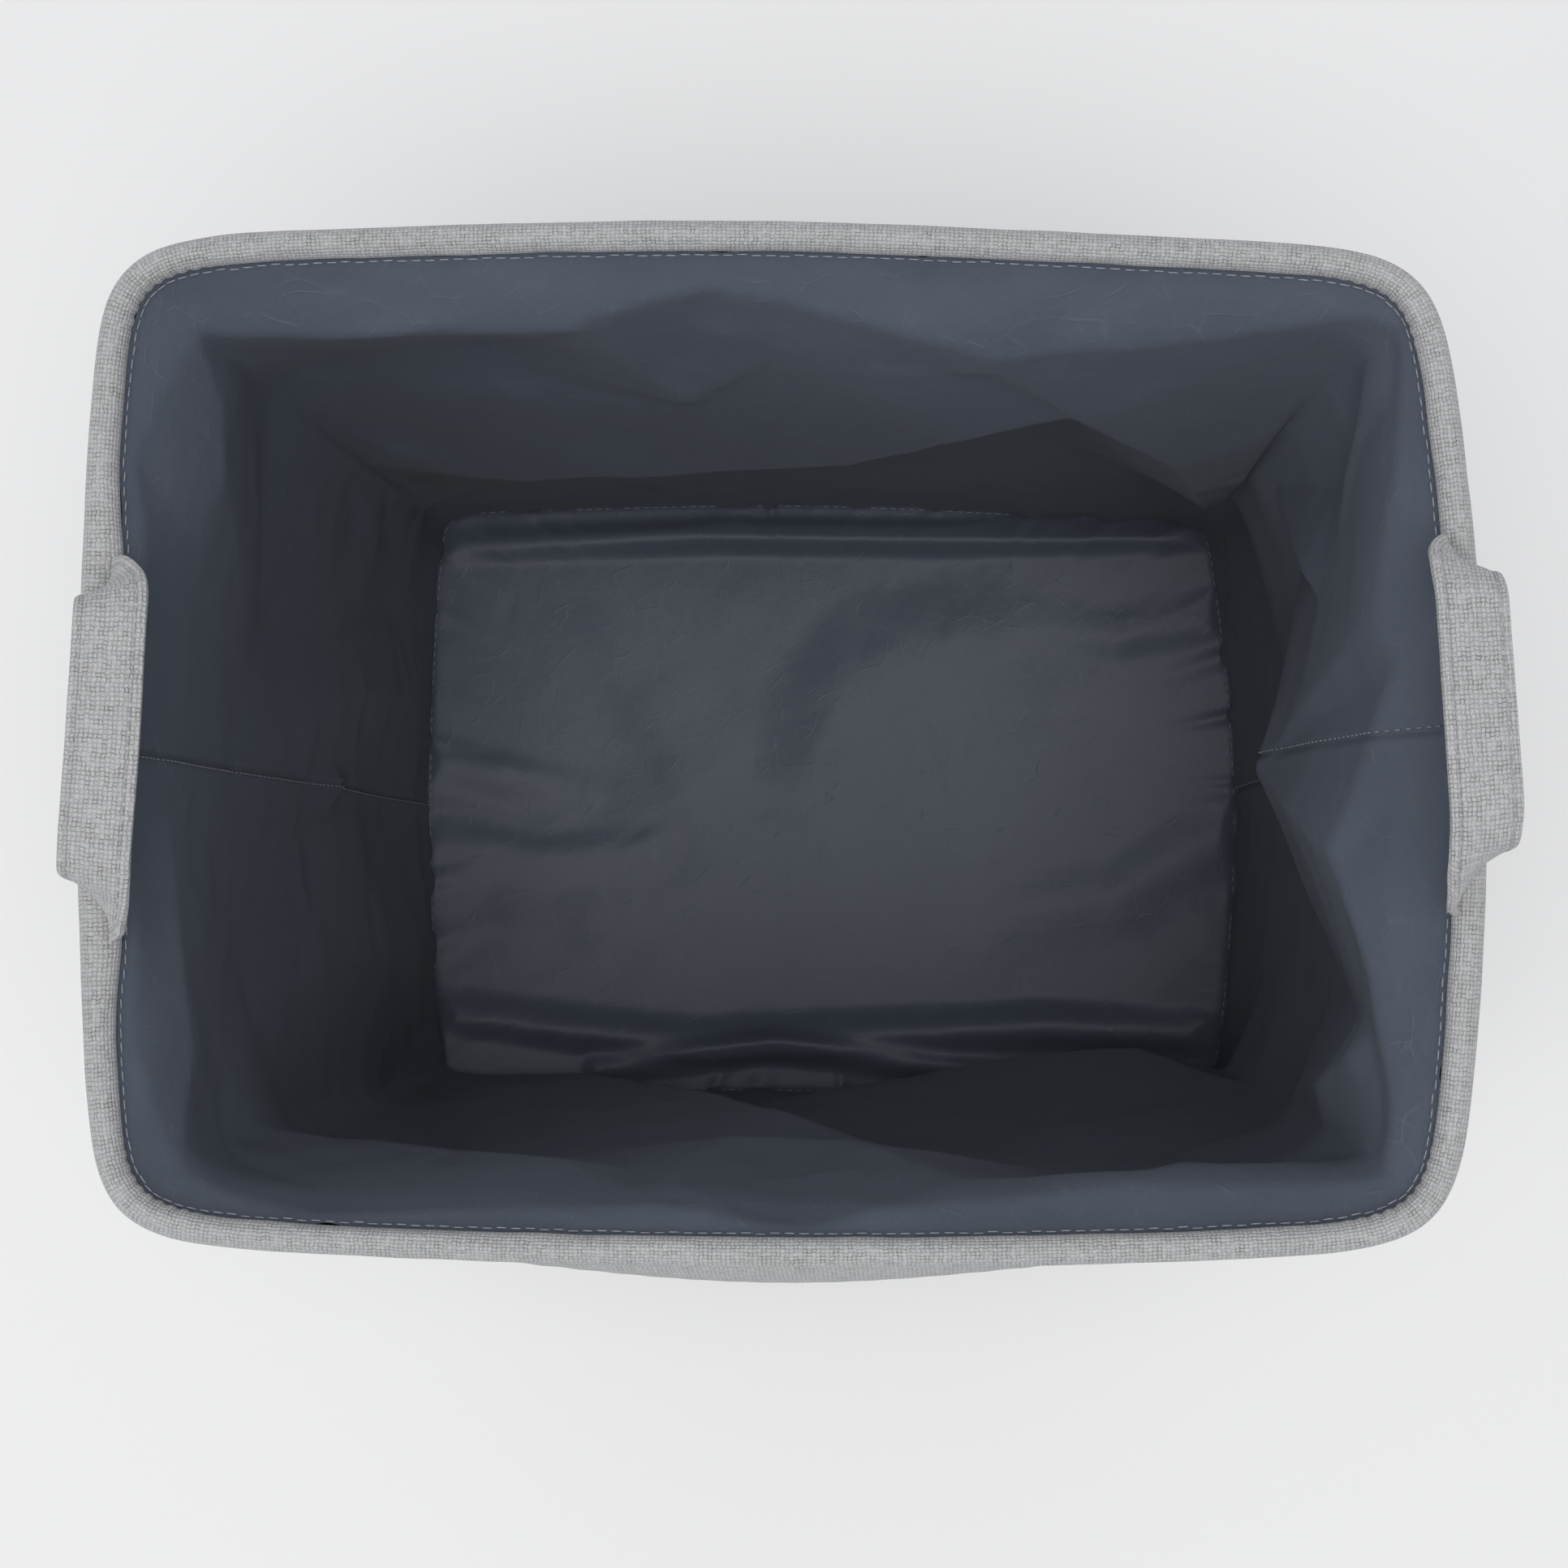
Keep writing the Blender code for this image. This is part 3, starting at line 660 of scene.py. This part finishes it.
def lining_points(s, z):
    """Lining surface: the outline at the lining's inset, moved in by lining_push, its top under the roll."""
    turn = turn_at(s)
    at_top = ease(z, LINING_TOP - 0.030, LINING_TOP)
    base = outline(turn, LINING_INSET, OUTLINE_POWER + 15 * ease(z, 0.30, 0.0))
    base = base + (inside_roll(turn, roll_width(turn) - 0.0015) - base) * at_top[..., None]
    side = np.where(base[..., 0] < 0, -1, 1)
    to_end = np.abs(np.abs(base[..., 1] - side * HANDLE_SHIFT) - (HANDLE_SPAN - STRAP_WIDTH) / 2)
    over_end = 0.0016 * ease(STRAP_WIDTH / 2 + 0.006 - to_end, 0, 0.008) * ease(z, 0.535, 0.562)
    over_end = np.where(np.abs(base[..., 0]) > RIM_LENGTH / 2 - 0.03, over_end, 0)
    push = np.maximum(lining_push(s, z), over_end)
    xy = base - outward(turn, LINING_INSET) * push[..., None]
    return at_height(xy, z)


def wall_seams():
    """Distances along the outline of the right and left side seams."""
    right = float(distance_at("right", SEAM_SHIFT))
    left = float(distance_at("left", -SEAM_SHIFT))
    return right, left


def make_lining_walls(nylon, dark):
    """Back and front halves of the lining, sewn together at the middle of the short sides."""
    right, left = wall_seams()
    columns, rows = 330, 240
    heights = LINING_BOTTOM + (LINING_TOP - LINING_BOTTOM) * np.linspace(0, 1, rows + 1)
    near_seam = np.array([0.0, 0.0005, 0.0010, 0.0016, 0.0023, 0.0031, 0.0042])
    halves = {"lining_back": (right, left), "lining_front": (left, right + AROUND)}
    for name, (start, stop) in halves.items():
        middle = np.linspace(start + 0.006, stop - 0.006, columns + 1)
        places = np.concatenate([start + near_seam, middle, stop - near_seam[::-1]])
        s = places[:, None] + np.zeros(rows + 1)
        z = np.zeros((len(places), 1)) + heights
        points = lining_points(s, z)
        to_seam = np.minimum(np.abs(s - start), np.abs(s - stop))
        tuck = 0.0011 * np.exp(-((to_seam / 0.0010) ** 2))
        tuck = tuck - 0.0004 * np.exp(-(((to_seam - 0.0028) / 0.0016) ** 2))
        points[..., :2] += outward(turn_at(s)) * tuck[..., None]
        uv = np.stack([s, z], -1)
        obj = put_grid(name + "_cloth", points[::-1], uv[::-1], nylon, "base")
        fold_down(obj)
        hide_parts(name)
    for side, seam in (("right", right), ("left", left)):
        z = np.arange(LINING_BOTTOM + 0.004, LINING_TOP - 0.004, 0.0042)
        s = np.full_like(z, seam + 0.0012)
        centres = lining_points(s[:, None] + np.zeros(2), z[:, None] + np.array([0, 0.001]))
        direction = centres[:, 1] - centres[:, 0]
        inward = -level_out(turn_at(s))
        place = centres[:, 0] + inward * 0.0005
        name = "lining_seam_stitches_" + side
        obj = capsules(name, place, direction, inward, 0.0026, 0.00026, dark, "base")
        fold_down(obj)


# Creases of the floor lining, in millimetres: (x, y, rise) along each, then its reach to its left and right
FLOOR_FOLDS = [
    ([(-196, 131, 4), (-60, 136, 10), (60, 134, 11), (194, 136, 6)], 12, 12),
    ([(-200, -112, 5), (-130, -121, 8), (-69, -127, 8), (53, -121, 9), (110, -118, 10),
        (190, -122, 6)], 16, 14),
    ([(-120, -140, 4), (-30, -128, 10), (40, -136, 8), (85, -142, 3)], 10, 12),
    ([(0, -30, 1), (-4, 20, 4), (11, 60, 6), (45, 80, 6), (90, 78, 5), (140, 62, 1)], 36, 75),
    ([(-130, 100, 1), (-95, 50, 4), (-70, 10, 4), (-50, -20, 1)], 40, 26),
    ([(-203, 20, 3), (-170, 14, 4), (-130, 4, 1)], 12, 20),
    ([(-200, -20, 2), (-150, -30, 3), (-90, -24, 1)], 12, 22),
    ([(198, 90, 3), (150, 82, 3), (100, 92, 0)], 14, 22),
    ([(200, -20, 3), (150, -50, 4), (60, -70, 0)], 30, 24),
]


def floor_height(x, y, edge):
    """Floor lining over its board: soft swells, a tuck at the back, folds along the front, small creases.

    edge is the distance in from the seam.
    """
    rise = 0.0014 * (1 + ripples(x, y, 41, 0.070)) + 0.0004 * ripples(x, y, 42, 0.022)
    for crest, left, right in FLOOR_FOLDS:
        points = [(a / MM, b / MM, most / MM) for a, b, most in crest]
        rise = rise + crest_push(x, y, points, left / MM, right / MM, rounded=True)
    rise = rise + 0.4 * little_creases(x, y, 43, 60, (-0.2, -0.14), (0.2, 0.14))
    return np.minimum(np.maximum(rise, 0.0), 0.6 * edge + 0.0003)


def make_lining_floor(nylon):
    """Floor lining: a square grid pushed out to the outline, sewn to the walls round its edge."""
    columns, rows = 300, 220
    a, b = np.meshgrid(np.linspace(-1, 1, columns + 1), np.linspace(-1, 1, rows + 1), indexing="ij")
    reach = np.maximum(np.abs(a), np.abs(b))
    turn = np.arctan2(b, a)
    edge_xy = outline(turn, LINING_INSET + 0.0002, OUTLINE_POWER + 15)
    xy = edge_xy * reach[..., None]
    straight_in = np.where(np.abs(a) > np.abs(b), np.abs(np.cos(turn)), np.abs(np.sin(turn)))
    edge = (1 - reach) * np.linalg.norm(edge_xy, axis=-1) * straight_in
    s = np.interp(np.mod(turn, TWO_PI), _turns, _arc)
    z = LINING_BOTTOM - 0.0006 + softened(floor_height(xy[..., 0], xy[..., 1], edge), 3)
    z = z + 0.0036 * pleats(s, 31, 0.026) * np.exp(-edge / 0.014) * ease(edge, 0, 0.004)
    obj = put_grid("lining_floor_cloth", at_height(xy, z), xy, nylon, "base")
    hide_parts("lining_floor")


def make_floor_stitches(dark):
    """Stitches along the seam between floor and walls."""
    turn = turn_at(evenly_round(0.0050))
    count = len(turn)
    xy = outline(turn, LINING_INSET + 0.0022, OUTLINE_POWER + 15)
    along = outline(turn + 1e-3, LINING_INSET) - outline(turn - 1e-3, LINING_INSET)
    centres = np.column_stack([xy, np.full(count, LINING_BOTTOM + 0.0009)])
    obj = capsules("floor_seam_stitches", centres, np.column_stack([along, np.zeros(count)]),
                   np.tile([0, 0, 1.0], (count, 1)), STITCH_LENGTH, 0.00028, dark, "base")


# --- cover ---


def belly(z, early, late):
    """From 0 at the rim and base to 1 at the fullest height: drop^early x (1 - drop)^late, scaled."""
    drop = np.clip(1 - z / COVER_TOP, 0, 1)
    peak = early / (early + late)
    return (drop / peak) ** early * ((1 - drop) / (1 - peak)) ** late


def swell(xy, z):
    """The slack cover's bulge: about 21 mm on the long walls, fullest high up in front, 8 mm on the sides."""
    along_x, along_y = np.abs(xy[..., 0]) / (RIM_LENGTH / 2), np.abs(xy[..., 1]) / (RIM_DEPTH / 2)
    long_wall = np.where(xy[..., 1] < 0, 0.0205 * belly(z, 0.6, 1.9), 0.022 * belly(z, 1.5, 2.0))
    short_wall = 0.008 * belly(z, 1.2, 1.6)
    out_y = long_wall * np.clip(1 - along_x**2, 0, 1) ** 3 * along_y**4
    out_x = short_wall * np.clip(1 - along_y**2, 0, 1) ** 2 * along_x**4
    return np.stack([np.copysign(out_x, xy[..., 0]), np.copysign(out_y, xy[..., 1])], -1)


def cover_points(s, z, inset=COVER_INSET):
    """Cover surface: outline, swell, and soft slack folds of 1 to 2 mm that fade at the rim and base."""
    turn = turn_at(s)
    base = outline(turn, inset)
    xy = base + swell(base, z)
    slack = np.zeros_like(z)
    rng = np.random.default_rng(61)
    for _ in range(26):
        ps, pz = rng.uniform(0, AROUND), rng.uniform(0.06, 0.52)
        lean, long_by, wide = rng.uniform(-0.9, 0.9), rng.uniform(0.05, 0.16), rng.uniform(0.008, 0.022)
        size = rng.uniform(-0.0012, 0.0018)
        run = np.mod(s - ps + AROUND / 2, AROUND) - AROUND / 2
        rise = z - pz
        major = run * math.cos(lean) + rise * math.sin(lean)
        minor = -run * math.sin(lean) + rise * math.cos(lean)
        slack = slack + size * np.exp(-((major / long_by) ** 2) - (minor / wide) ** 2)
    ripple = 0.0005 * np.sin(s / 0.012 * TWO_PI + 2 * np.sin(s * 19)) * np.exp(-(COVER_TOP - z) / 0.018)
    gathered = 0.0005 * np.sin(s / 0.015 * TWO_PI + 2 * np.sin(s * 23)) * np.exp(-z / 0.016)
    calm = ease(z, 0.0, 0.05) * ease(COVER_TOP - z, 0.0, 0.05)
    tuck = -0.0016 * np.exp(-((z / 0.004) ** 2))
    xy = xy + outward(turn) * (slack * calm + ripple + gathered + tuck)[..., None]
    return at_height(xy, z)


def make_cover(linen, pale):
    """Front and back halves of the cover, with a lapped seam and two stitch rows on each short side."""
    right, left = wall_seams()
    columns, rows = 300, 150
    halves = {"cover_back": (right, left), "cover_front": (left, right + AROUND)}
    for name, (start, stop) in halves.items():
        s = np.linspace(start, stop, columns + 1)[:, None] + np.zeros(rows + 1)
        z = np.zeros((columns + 1, 1)) + np.linspace(0.0, COVER_TOP, rows + 1)
        points = cover_points(s, z)
        to_seam = np.minimum(np.abs(s - start), np.abs(s - stop))
        groove = -0.0012 * np.exp(-((to_seam / 0.0016) ** 2))
        groove = groove + 0.0006 * np.exp(-(((to_seam - 0.006) / 0.005) ** 2))
        points[..., :2] += outward(turn_at(s)) * groove[..., None]
        obj = put_grid(name + "_cloth", points, np.stack([s * 1.03, z], -1), linen, "base")
        thicken(obj, 0.0010)
        fold_down(obj)
        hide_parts(name)
    up = np.array([0, 0.001])
    for side, seam in (("right", right), ("left", left)):
        row = np.arange(0.012, COVER_TOP - 0.012, STITCH_PITCH)
        s = np.concatenate([np.full_like(row, seam - 0.0045), np.full_like(row, seam + 0.0045)])
        z = np.concatenate([row, row])
        pair = cover_points(s[:, None] + np.zeros(2), z[:, None] + up)
        cover_stitches("cover_seam_stitches_" + side, pair, s, 0.0008, pale)
    s = evenly_round(STITCH_PITCH)
    pair = cover_points(s[:, None] + up, np.full((len(s), 2), 0.0105))
    cover_stitches("base_stitches", pair, s, 0.0002, pale)


def cover_stitches(name, pair, s, lift, pale):
    """A row of stitches on the cover, from each one's place and the next point along its row."""
    normal = level_out(turn_at(s))
    place = pair[:, 0] + normal * lift
    obj = capsules(name, place, pair[:, 1] - pair[:, 0], normal, STITCH_LENGTH, 0.00032, pale, "base")
    fold_down(obj)


def make_label(leather, pale):
    """Blank label: a round-cornered patch that follows the cover, its top edge standing off it a little."""
    low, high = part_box("front_label")
    columns, rows = 60, 40
    a, b = np.meshgrid(np.linspace(-1, 1, columns + 1), np.linspace(-1, 1, rows + 1), indexing="ij")
    corner = 0.10
    squeeze = 1 - corner * np.clip((np.abs(b) - 0.82) / 0.18, 0, 1) ** 2.2
    middle_x, middle_z = (low.x + high.x) / 2, (low.z + high.z) / 2
    half_x, half_z = (high.x - low.x) / 2, (high.z - low.z) / 2
    x = middle_x + a * half_x * squeeze
    z = middle_z + b * half_z
    s = distance_at("front", x)
    points = cover_points(s, z)
    edge = np.minimum(1 - np.abs(a), 1 - np.abs(b))
    lift = 0.0010 + 0.0004 * ease(edge, 0.0, 0.15) + 0.0022 * ease(b, 0.75, 1.0) * (0.7 + 0.3 * a)
    points = points + level_out(turn_at(s)) * lift[..., None]
    obj = put_grid("front_label_patch", points, np.stack([x, z], -1), leather, "base")
    thicken(obj, 0.0009)
    fold_down(obj)
    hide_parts("front_label")
    half_x, half_z = half_x - 0.003, half_z - 0.003
    places = []
    for side in (-1, 1):
        run = np.arange(-half_x + 0.0015, half_x, 0.0030)
        places += [(middle_x + k, middle_z + side * half_z, 1, 0) for k in run]
        run = np.arange(-half_z + 0.0015, half_z, 0.0030)
        places += [(middle_x + side * half_x, middle_z + k, 0, 1) for k in run]
    places = np.array(places)
    s = distance_at("front", places[:, 0])
    normal = level_out(turn_at(s))
    top = ease((places[:, 1] - middle_z) / (half_z + 0.003), 0.75, 1.0)
    centres = cover_points(s, places[:, 1]) + normal * (0.0016 + 0.0022 * top * 0.9)[:, None]
    along = np.column_stack([places[:, 2], np.zeros(len(s)), places[:, 3]])
    obj = capsules("label_stitches", centres, along, normal, 0.0021, 0.00024, pale, "base")
    fold_down(obj)


# --- handles ---


def pivots(side):
    """Middle of a handle's pivot line, the unit direction along it to the back, and the way out."""
    ends = []
    for end in (-1, 1):
        y = side * HANDLE_SHIFT + end * (HANDLE_SPAN - STRAP_WIDTH) / 2
        along = y / (RIM_DEPTH / 2 - PIVOT_INSET)
        across = side * (1 - abs(along) ** OUTLINE_POWER) ** (1 / OUTLINE_POWER)
        pull = ease(np.array(across), -0.25, 1) * ease(np.array(along), -0.25, 1)
        reach = RIM_LENGTH / 2 - PIVOT_INSET - BOW_X[side > 0] * along**2
        x = across * reach - CORNER_PULL[0] * float(pull)
        ends.append(np.array([x, y, PIVOT_HEIGHT]))
    back = (ends[1] - ends[0]) / np.linalg.norm(ends[1] - ends[0])
    return (ends[0] + ends[1]) / 2, back, side * np.cross(back, [0, 0, 1])


# A strap from its back end to its front end: place along the pivot line, height over it, outward shift, and
# the angle of its width from outward towards the back
STRAP_KEYS = {
    -1: [(0.050, -0.018, 0.0045, -90), (0.050, -0.001, 0.0015, -90), (0.050, 0.016, -0.0010, -62),
         (0.048, 0.030, -0.0040, -14), (0.040, 0.036, -0.0045, 0), (0.0, 0.0375, -0.0027, 0),
         (-0.028, 0.036, -0.0004, 0), (-0.039, 0.031, 0.0010, 14), (-0.047, 0.017, 0.0, 58),
         (-0.048, -0.001, 0.0015, 90), (-0.048, -0.018, 0.0045, 90)],
    1: [(0.046, -0.018, 0.0065, -90), (0.046, -0.001, 0.0035, -90), (0.046, 0.016, 0.0005, -62),
        (0.045, 0.030, -0.0028, -14), (0.037, 0.036, -0.0032, 0), (0.0, 0.0375, -0.0021, 0),
        (-0.028, 0.036, -0.0002, 0), (-0.039, 0.031, 0.0006, 14), (-0.047, 0.017, 0.0, 58),
        (-0.048, -0.001, 0.0035, 90), (-0.048, -0.018, 0.0065, 90)],
}
STRAP_STEPS = 320


def strap_path(side):
    """Centre, width and normal directions, thinness and length at STRAP_STEPS + 1 even steps of a strap.

    The strap's keys are joined by straight lines, which a moving average 7 mm long then rounds.
    """
    middle, back, out = pivots(side)
    keys = np.array(STRAP_KEYS[side])
    gaps = np.linalg.norm(np.diff(keys[:, :3], axis=0), axis=1)
    places = np.concatenate([[0], np.cumsum(gaps)])
    even = np.linspace(0, places[-1], STRAP_STEPS + 1)
    tracks = [np.interp(even, places, keys[:, k]) for k in range(4)]
    reach = int(0.0035 / even[1])
    window = np.ones(2 * reach + 1) / (2 * reach + 1)
    for _ in range(2):
        tracks = [np.convolve(np.pad(track, reach, mode="reflect", reflect_type="odd"), window, "valid")
                  for track in tracks]
    along, height, shift, angle = tracks
    angle = np.radians(angle)[:, None]
    up = np.array([0, 0, 1.0])
    centre = middle + back * along[:, None] + out * shift[:, None] + up * height[:, None]
    width = out * np.cos(angle) + back * np.sin(angle)
    ahead = np.gradient(centre, axis=0)
    normal = np.cross(ahead, width)
    normal /= np.linalg.norm(normal, axis=1, keepdims=True)
    width = np.cross(normal, ahead)
    width /= np.linalg.norm(width, axis=1, keepdims=True)
    thin = 0.55 + 0.45 * ease(height, 0.0, 0.020)
    length = np.concatenate([[0], np.cumsum(np.linalg.norm(np.diff(centre, axis=0), axis=1))])
    return centre, width, normal, thin, length


def lean_over(points, side):
    """Turns points about the pivot line by the handle's lean: none below it, all of it just above."""
    middle, axis, _ = pivots(side)
    angle = side * LEAN[side] * ease(points[..., 2], PIVOT_HEIGHT - 0.004, PIVOT_HEIGHT + 0.004)
    off = points - middle
    c, s = np.cos(angle)[..., None], np.sin(angle)[..., None]
    turned = off * c + np.cross(axis, off) * s + axis * (off @ axis)[..., None] * (1 - c)
    return middle + turned


GROOVE = 0.72  # where the stitched grooves lie, as a share of the strap's half width


def strap_section(count):
    """Strap section: a flat loop with folded hems, divided off by stitched grooves near each edge.

    Returns positions across the width and through the thickness, each from -1 to 1.
    """
    turn = np.linspace(0, TWO_PI, count, endpoint=False)
    across = np.sign(np.cos(turn)) * np.abs(np.cos(turn)) ** 0.32
    through = np.sign(np.sin(turn)) * np.abs(np.sin(turn)) ** 0.50
    groove = 0.34 * np.exp(-(((np.abs(across) - GROOVE) / 0.045) ** 2))
    hem = 0.10 * ease(np.abs(across), GROOVE, GROOVE + 0.12)
    return across, through * (0.92 + hem - groove)


def make_handle(side, name, linen, pale, webbing):
    """One strap handle, with the stitches of its two grooves on both faces, and the webbing inside it."""
    around = 64
    centre, width, normal, thin, length = strap_path(side)
    across, through = strap_section(around)
    half_width, half_thick = STRAP_WIDTH / 2, 0.0019
    uneven = 1 + 0.02 * ripples(length, 0 * length, 70 + side, 0.011)
    bulge = 0.12 * ripples(length[:, None], across * 0.02, 73 + side, 0.008)
    points = (
        centre[:, None, :]
        + width[:, None, :] * (across * half_width * uneven[:, None])[..., None]
        + normal[:, None, :] * (through * (1 + bulge) * half_thick * thin[:, None])[..., None]
    )
    points = lean_over(points, side)
    closed = np.concatenate([points, points[:, :1]], 1)
    steps = np.hypot(np.diff(np.append(across, across[0])) * half_width,
                     np.diff(np.append(through, through[0])) * half_thick)
    girth = np.concatenate([[0], np.cumsum(steps)])
    uv = np.stack(np.broadcast_arrays(girth[None, :], length[:, None]), -1)
    obj = put_grid(name + "_cloth", closed[:, ::-side], uv[:, ::-side], linen)
    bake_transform(obj)
    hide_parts(name + "_strap", name + "_end_front", name + "_end_back")
    stitch_at = np.arange(0.012, length[-1] - 0.012, 0.0042)
    for face, label in ((1, "top"), (-1, "under")):
        for edge, where in ((1, "outer"), (-1, "inner")):
            seat = centre + width * edge * GROOVE * half_width
            seat = seat + normal * face * (half_thick * thin * 0.64)[:, None]
            seat = lean_over(seat, side)
            seat, ahead, out = (np.stack([np.interp(stitch_at, length, k[:, c]) for c in range(3)], -1)
                                for k in (seat, np.gradient(seat, axis=0), normal * face))
            row = capsules(f"{name}_stitches_{label}_{where}", seat, ahead, out, 0.0030, 0.00024, pale)
            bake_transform(row)
    inside = slice(STRAP_STEPS // 5, -STRAP_STEPS // 5)
    lanes = np.linspace(-0.0065, 0.0065, 5)
    core = centre[inside, None, :] + width[inside, None, :] * lanes[:, None]
    core = lean_over(core, side)
    uv = np.stack(np.broadcast_arrays(lanes[None, :], length[inside, None]), -1)
    obj = thicken(put_grid(name + "_webbing", core, uv, webbing, name), 0.0008, offset=0.0)
    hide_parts(name + "_core")


# --- hidden layers inside the walls ---


def make_wall_layer(node, ending, wall, across, inset, finish):
    """One layer inside a wall: the outline at its inset, with the cover's swell, as high as the CAD's."""
    low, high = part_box(node)
    along, z = np.meshgrid(across, np.linspace(low.z, high.z, 61), indexing="ij")
    base = outline(turn_at(distance_at(wall, along)), inset)
    points = at_height(base + swell(base, z), z)
    obj = put_grid(node + ending, points, np.stack([along, z], -1), finish, "base")
    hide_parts(node)
    return obj, high.z


def make_hidden_layers(foam, tape):
    """Foam stiffeners and seam tapes between cover and lining: the CAD's panels as thickened sheets."""
    for wall, reach in (("front", 0.175), ("back", 0.175), ("left", 0.118), ("right", 0.118)):
        across = np.linspace(-reach, reach, 41)
        obj, top = make_wall_layer("stiffener_" + wall, "_panel", wall, across, 0.0050, foam)
        thicken(obj, 0.0026, offset=0.0)
        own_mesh(obj)
    for wall, middle in (("left", -SEAM_SHIFT), ("right", SEAM_SHIFT)):
        across = middle + np.linspace(-0.008, 0.008, 9)
        obj, top = make_wall_layer("side_seam_tape_" + wall, "_strip", wall, across, 0.0040, tape)
        thicken(obj, 0.0005)
        fold_down(obj)


def finish_cad_nodes(finishes):
    """Gives each CAD node that stays in view its finish."""
    for node, finish in finishes.items():
        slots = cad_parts[node].data.materials
        slots.clear()
        slots.append(finish)


# --- stage ---


def make_stage():
    """Pale floor, a big soft light nearly overhead, a weaker one from the front left, and a pale sky."""
    n = Nodes("pale_floor", roughness=0.8, specular=0.2)
    floor = put_mesh("floor", [(-4, -4, -0.0006), (4, -4, -0.0006), (4, 4, -0.0006), (-4, 4, -0.0006)],
                     [(0, 1, 2, 3)], n.finish((0.76, 0.75, 0.74)))
    for name, place, power in (("overhead", (0.08, -0.26, 2.7), 33), ("window", (-2.6, -0.6, 1.5), 10)):
        lamp = bpy.data.lights.new(name, "AREA")
        lamp.shape, lamp.size, lamp.energy = "DISK", 1.2, power
        obj = bpy.data.objects.new(name, lamp)
        obj.location = place
        obj.rotation_euler = (Vector((0, 0, 0.3)) - Vector(place)).to_track_quat("-Z", "Y").to_euler()
        bpy.context.scene.collection.objects.link(obj)
    world = bpy.data.worlds.new("pale_sky")
    world.use_nodes = True
    sky = world.node_tree.nodes["Background"]
    sky.inputs[0].default_value = (0.93, 0.96, 1.0, 1.0)
    sky.inputs[1].default_value = 0.72
    bpy.context.scene.world = world
    bpy.context.scene.view_settings.view_transform = "Standard"


def make_camera():
    """Almost straight down from 0.85 m above the rim, a little right of and in front of the middle."""
    camera = bpy.data.objects.new("camera", bpy.data.cameras.new("camera"))
    camera.data.sensor_width = 36.0
    camera.data.lens = 62.93
    camera.location = (0.0432, -0.0447, HEIGHT - 0.005 + 0.852)
    camera.rotation_euler = tuple(math.radians(a) for a in (2.069, 2.694, 0.0))
    bpy.context.scene.collection.objects.link(camera)
    bpy.context.scene.camera = camera



def main():
    make_camera()
    make_stage()
    linen = woven("grey_linen")
    linen_flat = woven("grey_linen_base", source="object")
    nylon = lining_cloth()
    pale = thread("pale_thread", PALE_THREAD)
    dark = thread("slate_thread", SLATE_THREAD)
    foam = plain_cloth("white_foam", (0.80, 0.80, 0.78), pitch=0.0022)
    tape = plain_cloth("white_binding", (0.70, 0.70, 0.70))
    flat_tape = plain_cloth("white_binding_base", (0.70, 0.70, 0.70), source="object")
    leather = navy_leather()
    wire = drawn_wire()
    webbing = plain_cloth("webbing", (0.55, 0.55, 0.55), pitch=0.0016)
    make_roll(linen)
    make_rim_stitches(pale)
    make_lining_walls(nylon, dark)
    make_lining_floor(nylon)
    make_floor_stitches(dark)
    make_cover(linen, pale)
    make_label(leather, pale)
    for side, name in ((-1, "handle_left"), (1, "handle_right")):
        make_handle(side, name, linen, pale, webbing)
    make_hidden_layers(foam, tape)
    finish_cad_nodes({
        "base_cover": linen_flat, "base_board": pressed_board(), "bottom_seam_binding": flat_tape,
        "rim_wire": wire, "rim_wire_ferrule": wire,
    })


main()
